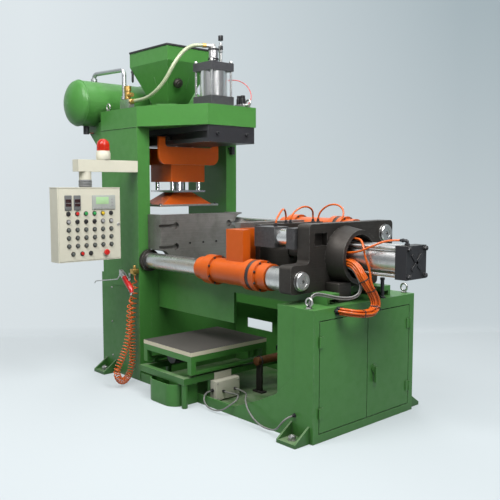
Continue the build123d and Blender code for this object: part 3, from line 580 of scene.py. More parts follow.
@dataclass(frozen=True)
class Metal:
    """Bare metal with machined grain, stains, painted shade in corners, and edges brighter from wear and a
    painted highlight.
    """

    name: str
    colour: Colour
    stain: Colour = (0.10, 0.085, 0.07)
    rough: float = 0.3
    grain: Grain = Grain.ALONG_X
    spread: float = 0.22
    stained: float = 0.4
    # Amount of the lighter edge colour: wear and a painted highlight.
    edge_highlight_and_wear: float = 0.5
    bump: float = 0.05
    metallic: float = 1.0

    def material(self) -> bpy.types.Material:
        """Builds the metal's node tree.

        Returns:
            The material.
        """
        material, g, shader = new_material(self.name)
        grain = group_node(g, "grain", {"Stretch": self.grain.value})
        patches = g.ramp(g.noise(7.0, 6.0, rough=0.65), 0.45, 0.75)
        tone = g.mix(g.maths("MULTIPLY", patches, self.stained), four(self.colour), four(self.stain))
        streaked = g.mix(g.maths("MULTIPLY", grain.outputs["Value"], 0.22), tone, four(self.stain))
        # Painted shade: darker colour in corners, from short-range occlusion.
        corner_shade = group_node(g, "corner_shade", {"Colour": streaked, "Amount": 0.5, "Reach": 0.05})
        # Edges lighter from wear and a painted highlight.
        edge = group_node(g, "edge", {"Width": 0.003, "Amount": self.edge_highlight_and_wear})
        colour = g.mix(edge.outputs["Mask"], corner_shade.outputs["Colour"], (0.62, 0.61, 0.58, 1))
        rough = g.add("ShaderNodeMath", {0: g.maths("MULTIPLY", grain.outputs["Value"], self.spread),
                                         1: self.rough}, operation="ADD").outputs[0]
        worn = g.maths("ADD", rough, g.maths("MULTIPLY", patches, 0.12))
        g.feed(shader, {"Base Color": colour, "Roughness": worn, "Metallic": self.metallic,
                        "Normal": g.bump(grain.outputs["Height"], self.bump, 0.001)})
        return material


@dataclass(frozen=True)
class Banded:
    """Bright tube between two dark painted blocks, told apart by their place along one axis."""

    name: str
    axis: str
    low: float
    high: float
    tube: Colour = (0.78, 0.78, 0.77)
    ends: Colour = (0.035, 0.035, 0.04)

    def material(self) -> bpy.types.Material:
        """Builds the banded node tree.

        Returns:
            The material.
        """
        material, g, shader = new_material(self.name)
        place = g.add("ShaderNodeTexCoord").outputs["Object"]
        along = g.add("ShaderNodeSeparateXYZ", {0: place}).outputs[self.axis]
        above = g.add("ShaderNodeMath", {0: along, 1: self.low}, operation="GREATER_THAN").outputs[0]
        below = g.add("ShaderNodeMath", {0: along, 1: self.high}, operation="LESS_THAN").outputs[0]
        bright = g.maths("MULTIPLY", above, below)
        grain = group_node(g, "grain", {"Stretch": Grain.CAST.value})
        dark = g.mix(g.maths("MULTIPLY", grain.outputs["Value"], 0.4), four(self.ends), (0.09, 0.09, 0.09, 1))
        tube = g.mix(g.maths("MULTIPLY", grain.outputs["Value"], 0.12), four(self.tube), (0.5, 0.5, 0.48, 1))
        # Edges in a lighter grey: wear and a painted highlight.
        edge = group_node(g, "edge", {"Width": 0.003, "Amount": 0.45})
        colour = g.mix(edge.outputs["Mask"], g.mix(bright, dark, tube), (0.40, 0.40, 0.38, 1))
        # Painted shade: darker colour in corners, from short-range occlusion.
        corner_shade = group_node(g, "corner_shade", {"Colour": colour, "Amount": 0.5, "Reach": 0.04})
        g.feed(shader, {"Base Color": corner_shade.outputs["Colour"], "Roughness": g.between(bright, 0.5, 0.24),
                        "Metallic": g.maths("MULTIPLY", bright, 0.95),
                        "Normal": g.bump(grain.outputs["Height"], 0.06, 0.001)})
        return material


@dataclass(frozen=True)
class Moulded:
    """Moulded plastic or rubber with a faint speckle and fine texture."""

    name: str
    colour: Colour
    rough: float = 0.4
    speckle: float = 0.18
    scale: float = 260.0
    coat: float = 0.0

    def material(self) -> bpy.types.Material:
        """Builds the plastic's node tree.

        Returns:
            The material.
        """
        material, g, shader = new_material(self.name)
        grain = g.ramp(g.noise(self.scale, 3.0), 0.35, 0.65)
        cloud = g.ramp(g.noise(14.0, 3.0), 0.35, 0.7)
        darker = tuple(0.55 * c for c in self.colour)
        tone = g.mix(g.maths("MULTIPLY", cloud, self.speckle), four(self.colour), four(darker))
        rough = g.between(grain, self.rough - 0.05, self.rough + 0.1)
        g.feed(shader, {"Base Color": tone, "Roughness": rough, "Normal": g.bump(grain, 0.06, 0.0006),
                        "Coat Weight": self.coat})
        return material


@dataclass(frozen=True)
class ClearPlastic:
    """Tinted clear plastic, as in the beacon's dome."""

    name: str
    colour: Colour
    clear: float = 0.55
    rough: float = 0.12

    def material(self) -> bpy.types.Material:
        """Builds the clear plastic's node tree.

        Returns:
            The material.
        """
        material, g, shader = new_material(self.name)
        haze = g.ramp(g.noise(60.0, 3.0), 0.3, 0.8)
        darker = tuple(0.6 * c for c in self.colour)
        tone = g.mix(g.maths("MULTIPLY", haze, 0.25), four(self.colour), four(darker))
        g.feed(shader, {"Base Color": tone, "Roughness": g.between(haze, self.rough, self.rough + 0.12),
                        "Transmission Weight": self.clear, "IOR": 1.46})
        return material


@dataclass(frozen=True)
class TwoTone:
    """Board with one colour on its upper face and another on its edges."""

    name: str
    top: Colour
    side: Colour

    def material(self) -> bpy.types.Material:
        """Builds the two-colour node tree.

        Returns:
            The material.
        """
        material, g, shader = new_material(self.name)
        normal = g.add("ShaderNodeNewGeometry").outputs["Normal"]
        upward = g.ramp(g.add("ShaderNodeSeparateXYZ", {0: normal}).outputs["Z"], 0.6, 0.7)
        blotch = g.ramp(g.noise(5.0, 6.0, rough=0.65), 0.3, 0.75)
        fine = g.noise(190.0, 3.0)
        dark = g.mix(g.maths("MULTIPLY", blotch, 0.45), four(self.top), (0.105, 0.097, 0.087, 1))
        pale = g.mix(g.maths("MULTIPLY", blotch, 0.25), four(self.side), (0.5, 0.46, 0.36, 1))
        # Painted shade: darker colour in corners, from short-range occlusion.
        corner_shade = group_node(g, "corner_shade", {"Colour": g.mix(upward, pale, dark), "Amount": 0.4})
        g.feed(shader, {"Base Color": corner_shade.outputs["Colour"], "Roughness": g.between(blotch, 0.72, 0.85),
                        "Normal": g.bump(fine, 0.12, 0.001)})
        return material


# In the paints below, the corner amount is painted shade in corners, and the edge amount and colour paint
# wear with a highlight; in the metals, the edge amount is wear with a painted highlight.
GREEN = Paint("green_enamel", (0.060, 0.212, 0.042), cloud=0.32, dust=0.10)
# Darker copy of the green for the low parts in and under the bay, with more edge marks, dust and painted
# corner shade.
GREEN_LOW = Paint("green_enamel_low", (0.054, 0.180, 0.040), cloud=0.45, edge_wear_and_highlight=0.6, dust=0.45, corner_shade=0.75)
ORANGE = Paint("orange_enamel", (0.56, 0.092, 0.004), rough=0.3, cloud=0.28, edge_wear_and_highlight=0.3, corner_shade=0.6, dust=0.1)
CREAM = Paint("cream_powder_coat", (0.62, 0.60, 0.49), rough=0.45, cloud=0.14, edge_wear_and_highlight=0.15, corner_shade=0.4,
              dust=0.12, peel=0.09, coat=0.05)
BLACK = Paint("black_enamel", (0.022, 0.022, 0.025), rough=0.38, cloud=0.3, edge_mark_colour=(0.22, 0.22, 0.21),
              dust=0.2, corner_shade=0.3)
IRON = Metal("oiled_iron", (0.062, 0.056, 0.050), stain=(0.026, 0.022, 0.019), rough=0.42,
             grain=Grain.ALONG_Y, stained=0.6, edge_highlight_and_wear=0.6, bump=0.1, metallic=0.75)
PLATEN = Metal("machined_platen", (0.29, 0.28, 0.265), stain=(0.09, 0.08, 0.07), rough=0.4,
               grain=Grain.ALONG_Y, stained=0.55, edge_highlight_and_wear=0.55, metallic=0.85)
BRIGHT = Metal("ground_steel", (0.68, 0.68, 0.67), rough=0.2, grain=Grain.ROUND_X, stained=0.16,
               edge_highlight_and_wear=0.3)
CHROME = Metal("chromed_rod", (0.78, 0.78, 0.79), rough=0.12, grain=Grain.ROUND_X, stained=0.1, spread=0.1)
ZINC = Metal("zinc_plated", (0.58, 0.58, 0.56), rough=0.3, grain=Grain.CAST, stained=0.3, spread=0.2)
GALVANISED = Metal("galvanised_pipe", (0.58, 0.60, 0.61), stain=(0.30, 0.31, 0.31), rough=0.3,
                   grain=Grain.CAST, stained=0.5)
RUSTED = Paint("rusted_tube", (0.15, 0.058, 0.018), rough=0.62, cloud=0.5, edge_mark_colour=(0.07, 0.035, 0.02),
               coat=0.0)
BRASS = Metal("plain_brass", (0.66, 0.43, 0.13), stain=(0.22, 0.13, 0.05), rough=0.28, grain=Grain.CAST)
ALLOY = Metal("anodised_tube", (0.76, 0.76, 0.75), rough=0.24, grain=Grain.ROUND_X, stained=0.12, spread=0.12)
RUBBER = Moulded("black_rubber", (0.018, 0.018, 0.019), rough=0.55)
HOSE_ORANGE = Moulded("orange_hose", (0.60, 0.105, 0.006), rough=0.3, coat=0.25)
HOSE_GREY = Moulded("grey_sheath", (0.20, 0.20, 0.19), rough=0.45)
HOSE_CLEAR = Moulded("braided_hose", (0.36, 0.41, 0.25), rough=0.28, speckle=0.5, scale=420.0, coat=0.3)
DARK_PLASTIC = Moulded("dark_bezel", (0.02, 0.02, 0.022), rough=0.32)
RED_CAP = Moulded("red_cap", (0.55, 0.018, 0.014), rough=0.28, coat=0.3)
GREEN_CAP = Moulded("green_cap", (0.03, 0.30, 0.075), rough=0.28, coat=0.3)
YELLOW_CAP = Moulded("yellow_cap", (0.72, 0.50, 0.03), rough=0.28, coat=0.3)
GREY_CAP = Moulded("grey_cap", (0.33, 0.33, 0.33), rough=0.35)
SMOKE_CAP = Moulded("smoke_cap", (0.105, 0.115, 0.105), rough=0.35)
DISPLAY_GREY = Moulded("display_bezel", (0.36, 0.38, 0.35), rough=0.4)
CONTROLLER_GREY = Moulded("controller_bezel", (0.13, 0.135, 0.135), rough=0.4)
BOOT = Moulded("grey_boot", (0.16, 0.165, 0.165), rough=0.5)
GLASS_GREEN = Moulded("display_window", (0.40, 0.62, 0.33), rough=0.12, coat=0.6)
GLASS_DARK = Moulded("controller_window", (0.035, 0.012, 0.012), rough=0.1, coat=0.6)
DOME = ClearPlastic("red_dome", (0.80, 0.035, 0.012))
TRAY_BOARD = TwoTone("tray_board", (0.062, 0.056, 0.050), (0.66, 0.61, 0.45))
PRESS_TUBE = Banded("press_cylinder", "Z", 1.990, 2.163)
EJECTOR_TUBE = Banded("ejector_cylinder", "X", 0.638, 0.735, ends=(0.028, 0.028, 0.03))

Finish = Paint | Metal | Banded | Moulded | ClearPlastic | TwoTone
MADE: dict[str, bpy.types.Material] = {}


def material_of(finish: Finish) -> bpy.types.Material:
    """The finish's material, made once.

    Args:
        finish: the finish.
    Returns:
        Its material.
    """
    if finish.name not in MADE:
        MADE[finish.name] = finish.material()
    return MADE[finish.name]


# Pieces

SHARP_ANGLE = 38.0


def keep(piece: bpy.types.Object, body: str, stands_for: tuple[str, ...] = ()) -> bpy.types.Object:
    """Lets a piece ride on its body and hides the nodes that it stands for.

    Args:
        piece: the object.
        body: name of the body that carries it.
        stands_for: nodes that the piece replaces.
    Returns:
        The piece.
    """
    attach(piece, body)
    known = [node for node in stands_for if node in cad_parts]
    if known:
        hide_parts(*known)
    LOG.info("piece %s rides on %s", piece.name, body)
    return piece


def make(name: str, shape: Shape, finish: Finish, body: str,
         stands_for: tuple[str, ...] = ()) -> bpy.types.Object:
    """Makes a mesh piece from a shape.

    Args:
        name: the piece's name.
        shape: its points and faces.
        finish: its finish.
        body: the body that it rides on.
        stands_for: nodes that it replaces.
    Returns:
        The piece.
    """
    mesh = bpy.data.meshes.new(name)
    mesh.from_pydata(shape.points.tolist(), [], shape.faces)
    work = bmesh.new()
    work.from_mesh(mesh)
    bmesh.ops.recalc_face_normals(work, faces=work.faces)
    work.to_mesh(mesh)
    work.free()
    mesh.shade_smooth()
    mesh.set_sharp_from_angle(angle=math.radians(SHARP_ANGLE))
    mesh.materials.append(material_of(finish))
    piece = bpy.data.objects.new(name, mesh)
    bpy.context.scene.collection.objects.link(piece)
    return keep(piece, body, stands_for)


def dress(finish: Finish, *nodes: str) -> None:
    """Gives CAD nodes a finish.

    Args:
        finish: the finish.
        nodes: names of the nodes.
    """
    for name in nodes:
        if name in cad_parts:
            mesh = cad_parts[name].data
            mesh.materials.clear()
            mesh.materials.append(material_of(finish))


def route_curve(name: str, points: list[Point], radius: float) -> bpy.types.Object:
    """Smooth NURBS line with the route's points as its control points.

    Args:
        name: the curve's name.
        points: control points in metres.
        radius: bevel radius, or 0 for a bare line.
    Returns:
        The curve object.
    """
    curve = bpy.data.curves.new(name, "CURVE")
    curve.dimensions = "3D"
    spline = curve.splines.new("NURBS")
    spline.points.add(len(points) - 1)
    weighted = np.column_stack([points, np.ones(len(points))]).astype(np.float32)
    spline.points.foreach_set("co", weighted.ravel())
    spline.order_u = 3
    spline.use_endpoint_u = True
    spline.resolution_u = 8
    curve.bevel_depth = radius
    curve.bevel_resolution = 3
    curve.use_fill_caps = True
    made = bpy.data.objects.new(name, curve)
    bpy.context.scene.collection.objects.link(made)
    return made


def line_points(curve: bpy.types.Object) -> Array:
    """Points along a bare curve, as its evaluated mesh gives them.

    Args:
        curve: the curve object.
    Returns:
        Points of shape (n, 3).
    """
    bpy.context.view_layer.update()
    mesh = bpy.data.meshes.new_from_object(curve)
    points = np.zeros(len(mesh.vertices) * 3)
    mesh.vertices.foreach_get("co", points)
    bpy.data.meshes.remove(mesh)
    return points.reshape(-1, 3)


def run_length(points: Array) -> float:
    """Length of a row of points."""
    return float(np.linalg.norm(np.diff(points, axis=0), axis=1).sum())


class Stiffness(Enum):
    """How far a cord bends under its own weight."""

    LIMP = "limp"
    MEDIUM = "medium"


class Lay(Enum):
    """How a cord lies between its ends."""

    HANGING = "hanging"
    LOOSE = "loose"


@dataclass
class Hose:
    """One free hose or cable: its route, thickness, finish and how it lies."""

    name: str
    route: list[Point]
    diameter: float
    finish: Finish
    slot: str
    body: str = "frame"
    stiffness: Stiffness = Stiffness.LIMP
    lay: Lay = Lay.HANGING

    def build(self) -> None:
        bare = route_curve(self.name + "_line", self.route, 0.0)
        length = run_length(line_points(bare))
        bpy.data.objects.remove(bare)
        hose = route_curve(self.name, self.route, self.diameter / 2)
        hose.data.materials.append(material_of(self.finish))
        keep(hose, self.body)


def route_at(place: Point, steps: list[Point]) -> list[Point]:
    """A route table in millimetres, set down at its place, in metres."""
    return [tuple((p + s) / 1000 for p, s in zip(place, step)) for step in steps]


def runs_of(route: Array) -> Array:
    """Unit direction of each run between a route's corners."""
    runs = np.diff(route, axis=0)
    return runs / np.linalg.norm(runs, axis=1, keepdims=True)


def bundle_frames(route: Array) -> Array:
    """Across and up directions of a bundle on each of its runs, turned with the runs and never twisted.

    Args:
        route: corners of shape (n, 3), with a first run along X.
    Returns:
        Unit vectors of shape (n - 1, 2, 3).
    """
    runs, frames = runs_of(route), [np.eye(3)[1:]]
    for run, after in zip(runs, runs[1:]):
        share = frames[-1] @ after / (1 + run @ after)
        frames.append(frames[-1] - np.outer(share, run + after))
    return np.array(frames)


def beside(route: Array, across: float, up: float) -> list[Point]:
    """Route of one hose in a bundle: corner(i) + o(i) - run(i) (o(i) . run(i + 1)) / (1 + cos turn(i)).

    Args:
        route: corners of the bundle's middle line.
        across: the hose's offset o along the first direction of the bundle's frame.
        up: its offset along the second direction.
    Returns:
        The hose's corners.
    """
    runs = runs_of(route)
    offset = np.array([across, up]) @ bundle_frames(route)
    turn = 1 + (runs[:-1] * runs[1:]).sum(1)
    share = (offset[:-1] * runs[1:]).sum(1) / turn
    inner = route[1:-1] + offset[:-1] - runs[:-1] * share[:, None]
    return [tuple(p) for p in np.vstack([route[:1] + offset[:1], inner, route[-1:] + offset[-1:]])]


@dataclass
class CoiledHose:
    """Spring-coiled air hose that hangs in a loop beside the column, with the blow gun on its end."""

    route: list[Point] = field(default_factory=lambda: route_at((-585, -450, 0), [
        (-15, -26, 760), (-15, -26, 680), (-33, -27, 590), (-45, -30, 490), (-49, -34, 398), (-50, -33, 308),
        (-48, -34, 218), (-44, -37, 127.5), (-22, -80, 54), (15, -143, 28), (52, -206, 54), (72, -242, 127.5),
        (48, -172, 215), (22, -118, 300), (8, -92, 382), (5, -84, 462), (9, -80, 545), (17, -80, 625)]))
    coil_radius: float = 0.0205
    hose_diameter: float = 0.008
    close_pitch: float = 0.021
    open_pitch: float = 0.040
    lead: float = 0.08
    samples: int = 1900
    opens_at: float = 0.25
    opens_over: float = 0.40
    aside: Point = (0.9, 0.43, 0.0)

    def helix(self, line: Array) -> Array:
        """Helix round the route: H(s) = line(s) + R (cos a(s) side(s) + sin a(s) top(s)).

        The angle a grows by a full turn for each pitch, and the pitch opens towards the upper ends.

        Args:
            line: points along the route's smooth line.
        Returns:
            Points of the hose's own centre line.
        """
        step = np.concatenate([[0], np.cumsum(np.linalg.norm(np.diff(line, axis=0), axis=1))])
        s = np.linspace(0, step[-1], self.samples)
        centre = np.stack([np.interp(s, step, line[:, k]) for k in range(3)], -1)
        height = np.clip((centre[:, 2] - self.opens_at) / self.opens_over, 0, 1)
        pitch = self.close_pitch + (self.open_pitch - self.close_pitch) * height
        left = np.clip(np.minimum(s, step[-1] - s) / self.lead, 0, 1)
        fade = left * left * (3 - 2 * left)
        angle = np.concatenate([[0], np.cumsum(2 * np.pi * np.diff(s) / pitch[1:] * fade[1:])])
        tangent = np.gradient(centre, axis=0)
        tangent /= np.linalg.norm(tangent, axis=1, keepdims=True)
        side = np.cross(tangent, np.array(self.aside))
        side /= np.linalg.norm(side, axis=1, keepdims=True)
        top = np.cross(side, tangent)
        wave = np.cos(angle)[:, None] * side + np.sin(angle)[:, None] * top
        return centre + self.coil_radius * fade[:, None] * wave

    def build(self, swivel: bpy.types.Object) -> None:
        """Args:
            swivel: the fitting on its far end; not used.
        """
        bare = route_curve("air_hose_line", self.route, 0.0)
        line = line_points(bare)
        bpy.data.objects.remove(bare)
        points = self.helix(line)
        coil = route_curve("coiled_hose", points.tolist(), self.hose_diameter / 2)
        coil.data.splines[0].resolution_u = 1
        coil.data.bevel_resolution = 1
        coil.data.materials.append(material_of(HOSE_ORANGE))
        keep(coil, "frame")


@dataclass
class BlowGun:
    """Air gun that hangs on the column's bracket, and the hose's union above it."""

    grip: list[Point] = field(default_factory=lambda: route_at((-585, -450, 0), [
        (17, -80, 622), (14, -73, 640), (8, -69, 656), (-10, -67, 672), (-52, -64, 703), (-95, -60, 735),
        (-127, -58, 758), (-150, -56, 770)]))
    grip_radii: tuple[float, ...] = (0.008, 0.012, 0.016, 0.0195, 0.0205, 0.0190, 0.0185, 0.0120)
    nozzle: list[Point] = field(default_factory=lambda: route_at((-585, -450, 0), [
        (-148, -56, 766), (-168, -55, 738), (-197, -54, 713), (-255, -53, 704), (-395, -51, 684),
        (-500, -50, 669), (-518, -50, 662), (-527, -50, 650)]))
    hook_x: float = -0.700
    union_x: float = -0.600
    union_y: float = -0.476

    def build(self) -> bpy.types.Object:
        """Makes the swivel, the grip, the trigger, the nozzle, the hook and the union.

        Returns:
            The swivel that the hose ends in.
        """
        swivel = tapered(np.array(self.grip[:3]), np.array([0.0080, 0.0095, 0.0090]))
        make("gun_grip", tapered(np.array(self.grip[1:6]), np.array(self.grip_radii[1:6])), RED_CAP, "frame")
        thin = np.array([0.008, 0.005] + [0.004] * (len(self.nozzle) - 2))
        metal = tapered(np.array(self.nozzle), thin)
        metal += tapered(np.array(self.grip[5:]), np.array(self.grip_radii[5:]))
        metal += slab(0.026, 0.022, 0.034, 0.006).moved((-0.728, -0.506, 0.752))
        lever = np.array([(-0.705, -0.506, 0.781), (-0.66, -0.510, 0.760), (-0.610, -0.514, 0.718)])
        metal += tapered(lever, np.array([0.004, 0.0035, 0.003]))
        make("gun_head", metal, ZINC, "frame")
        hook = slab(0.024, 0.058, 0.006, 0.004, 0.002).moved((self.hook_x, -0.479, 0.727))
        hook += slab(0.024, 0.005, 0.050, 0.002, 0.001).moved((self.hook_x, -0.4525, 0.710))
        hook += slab(0.024, 0.005, 0.022, 0.002, 0.001).moved((self.hook_x, -0.5055, 0.727))
        make("gun_hook", hook, ZINC, "frame")
        union = slab(0.040, 0.052, 0.032, 0.005).moved((self.union_x, -0.477, 0.768))
        union += hexagon(0.022, 0.012).moved((self.union_x, self.union_y, 0.757))
        stub = lathe([(0.011, 0), (0.011, 0.018), (0.008, 0.024)], 18)
        union += stub.moved((self.union_x, self.union_y, 0.800))
        make("hose_union", union, BRASS, "frame")
        return make("gun_swivel", swivel, ZINC, "frame")


@dataclass
class Hoses:
    """Every plain hose and cable of the machine, with its ties, glands and fittings."""

    pitch: float = 0.014
    hose_diameter: float = 0.012
    cable_diameter: float = 0.010
    feed_diameter: float = 0.026
    pilot_diameter: float = 0.006
    grey_in_bundle: tuple[int, ...] = (2, 5)
    bundle: Array = field(default_factory=lambda: np.array(route_at((895, 0, 972), [
        (0, -106, -24), (62, -106, -24), (125, -104, -22), (178, -113, -40), (215, -116, -86),
        (240, -96, -140), (256, -62, -194), (264, -48, -244), (268, -78, -284), (267, -140, -287),
        (257, -207, -280), (221, -250, -272), (170, -250, -272)])))
    tail: list[Point] = field(default_factory=lambda: route_at((895, 0, 972), [
        (0, -45, 110), (60, -45, 110), (130, -50, 110), (175, -72, 104), (210, -98, 74), (230, -108, 18),
        (252, -92, -52)]))
    cap_hose: list[Point] = field(default_factory=lambda: route_at((895, 0, 972), [
        (0, -108, 30), (70, -108, 30), (145, -114, 36), (215, -118, 50), (275, -112, 78), (330, -75, 107),
        (381, -35, 115), (427, -35, 115)]))
    cables: list[Point] = field(default_factory=lambda: route_at((895, 0, 972), [
        (228, -108, -124), (232, -108, -176), (220, -138, -212), (200, -196, -220), (176, -258, -211),
        (151, -335, -190), (141, -385, -180), (140, -415, -203), (140, -415, -247)]))
    feed: list[Point] = field(default_factory=lambda: route_at((-745, -345, 1978), [
        (-45, 0, 0), (65, 0, 0), (145, 0, 10), (240, 4, 42), (321, 25, 112), (358, 57, 202), (375, 100, 272),
        (379, 150, 322), (387, 202, 352), (404.79, 250.34, 359), (420.83, 293.45, 359)]))
    plate_cable: list[Point] = field(default_factory=lambda: route_at((178, -290, 0), [
        (0, 55, 75), (50, 55, 75), (122, 28, 84), (202, -20, 100), (277, -85, 118), (342, -155, 126),
        (402, -196, 100), (462, -208, 56), (537, -210, 26), (612, -206, 24), (672, -222, 44), (712, -236, 82),
        (738, -228, 116), (752, -200, 132), (752, -160, 132)]))
    loop_cable: list[Point] = field(default_factory=lambda: route_at((178, -290, 0), [
        (-25, -100, 85), (-25, -135, 85), (-18, -175, 74), (7, -200, 40), (62, -208, 16), (132, -208, 14),
        (197, -202, 34), (242, -185, 72), (262, -155, 96), (237, -115, 108), (182, -75, 100), (122, -50, 86),
        (62, -40, 75), (0, -40, 75)]))
    pilot_loop: list[Point] = field(default_factory=lambda: route_at((-305, 0, 1916), [
        (58, 84, 190), (72, 104, 194), (104, 146, 190), (140, 186, 158), (168, 200, 106), (178, 192, 56),
        (172, 168, 20), (160, 150, 14)]))
    loops: list[list[Point]] = field(default_factory=lambda: [route_at((450, 0, 1145), steps) for steps in (
        [(0, 0, 0), (0, 0, 36), (14, 26, 74), (26, 74, 100), (30, 130, 100), (22, 180, 76), (0, 206, 40),
         (0, 206, 0)],
        [(0, 255, 0), (0, 255, 40), (34, 262, 84), (94, 268, 114), (166, 266, 112), (222, 252, 76),
         (226, 228, 18), (184, 196, -20), (120, 165, -36), (20, 165, -36)],
        [(0, -40, 0), (0, -40, 40), (18, -64, 74), (56, -116, 92), (100, -176, 88), (132, -232, 62),
         (140, -266, 30), (140, -266, -6)])])

    def routes(self) -> list[Hose]:
        """Every hose with its route.

        Returns:
            The hoses, in the order in which they are made.
        """
        orange = (self.hose_diameter, HOSE_ORANGE, "orange_paint")
        grey_hose = (self.hose_diameter, HOSE_GREY, "black_paint")
        grey = (self.cable_diameter, HOSE_GREY, "black_paint")
        found = [Hose("feed_hose", self.feed, self.feed_diameter, HOSE_CLEAR, "cream_paint",
                      stiffness=Stiffness.MEDIUM),
                 Hose("pilot_loop", self.pilot_loop, self.pilot_diameter, RED_CAP, "beacon_red"),
                 Hose("plate_cable", self.plate_cable, *grey, lay=Lay.LOOSE),
                 Hose("loop_cable", self.loop_cable, *grey, lay=Lay.LOOSE)]
        for index, (across, up) in enumerate([(a, b) for b in (-1, 0, 1) for a in (-1, 0, 1)]):
            look = grey_hose if index in self.grey_in_bundle else orange
            route = beside(self.bundle, self.pitch * across, self.pitch * up)
            found.append(Hose(f"bundle_hose_{index}", route, *look))
        shared = beside(self.bundle, 0.0, 2 * self.pitch)[5:]
        found.append(Hose("bundle_tail", self.tail + shared, *orange))
        found.append(Hose("cap_hose", self.cap_hose, *orange))
        upper = np.vstack([self.bundle[:5], self.cables])
        for index, across in enumerate((-0.4, 0.4)):
            route = beside(upper, self.pitch * across, -2 * self.pitch)
            found.append(Hose(f"cabinet_cable_{index}", route, *grey))
        for index, loop in enumerate(self.loops):
            found.append(Hose(f"carriage_loop_{index}", loop, *orange, "carriage", lay=Lay.LOOSE))
        return found

    def ties(self) -> None:
        """Black ties: a thin band carried round the bundle at the middle of some of its runs."""
        frames, strap = bundle_frames(self.bundle), rounded_outline(0.0016, 0.006, 0.0006, 3)
        runs, bands = runs_of(self.bundle), []
        near, far, width = 0.021, 0.035, 0.0415
        for index, low, high in ((4, -far, near), (5, -near, far), (7, -near, far), (9, -near, far)):
            loop = rounded_outline(width, high - low, 0.009, 5) + np.array([0, (low + high) / 2])
            path = (self.bundle[index] + self.bundle[index + 1]) / 2 + loop @ frames[index]
            bands.append(swept(strap, path, tuple(runs[index]), True))
        make("bundle_ties", joined(bands), RUBBER, "frame")

    def fittings(self, hoses: list[Hose]) -> None:
        """Glands at the hoses' ends, each turned along its hose's first or last run, and the feed's fittings.

        Args:
            hoses: every hose.
        """
        glanded = [hose for hose in hoses if hose.diameter in (self.cable_diameter, self.hose_diameter)]
        ends = {(hose.body, tuple(way[0]), self.axis(way)) for hose in glanded
                for way in (hose.route, hose.route[::-1])}
        sleeve = [(0.0085, 0.005), (0.0085, 0.015), (0.0068, 0.021), (0.0061, 0.021)]
        gland = hexagon(0.021, 0.006) + lathe(sleeve, 18)
        for body in ("frame", "carriage"):
            shape = joined([gland.turned(axis).moved(place) for owner, place, axis in sorted(ends)
                            if owner == body])
            make(f"{body}_glands", shape, DARK_PLASTIC, body)
        self.feed_fittings()

    def feed_fittings(self) -> None:
        """Ferrules at both ends of the feed hose and the elbow on the pilot cylinder."""
        ferrule = lathe([(0.0125, -0.004), (0.0155, -0.002), (0.0155, 0.024), (0.0138, 0.027),
                         (0.0128, 0.027)], 24)
        start = np.array(self.feed[0])
        port = ferrule.turned("X").moved(start)
        port += lathe([(0.015, -0.026), (0.015, 0.002)], 24).turned("X").moved(start)
        port += hexagon(0.036, 0.016).turned("X").moved(start + np.array([-0.023, 0, 0]))
        last = np.array(self.feed[-2:])
        ahead = (last[1] - last[0]) / np.linalg.norm(last[1] - last[0])
        port += tapered(last[1] + np.outer([-0.026, -0.024, 0.002, 0.004], ahead),
                        np.array([0.0132, 0.0155, 0.0155, 0.0135]))
        make("feed_ferrules", port, BRASS, "frame")
        pilot = np.array([-0.305, 0, 2.337])
        elbow = lathe([(0.014, -0.016), (0.014, 0.012), (0.012, 0.0145)], 24).moved(pilot)
        elbow += tapered(np.linspace(pilot, last[1], 6), np.full(6, 0.014))
        elbow += hexagon(0.034, 0.012).moved(pilot + np.array([0, 0, -0.016]))
        make("feed_elbow", elbow, ZINC, "frame")

    @staticmethod
    def axis(route: list[Point]) -> str:
        """Name of the axis that a route's first run points along.

        Args:
            route: the route's corners.
        Returns:
            A name such as 'X' or '-Y'.
        """
        run = np.subtract(route[1], route[0])
        index = int(np.argmax(np.abs(run)))
        return ("" if run[index] > 0 else "-") + "XYZ"[index]

    def build(self) -> None:
        """Makes every hose with its ties and fittings."""
        hoses = self.routes()
        for hose in hoses:
            hose.build()
        self.ties()
        self.fittings(hoses)


# Sub-assemblies

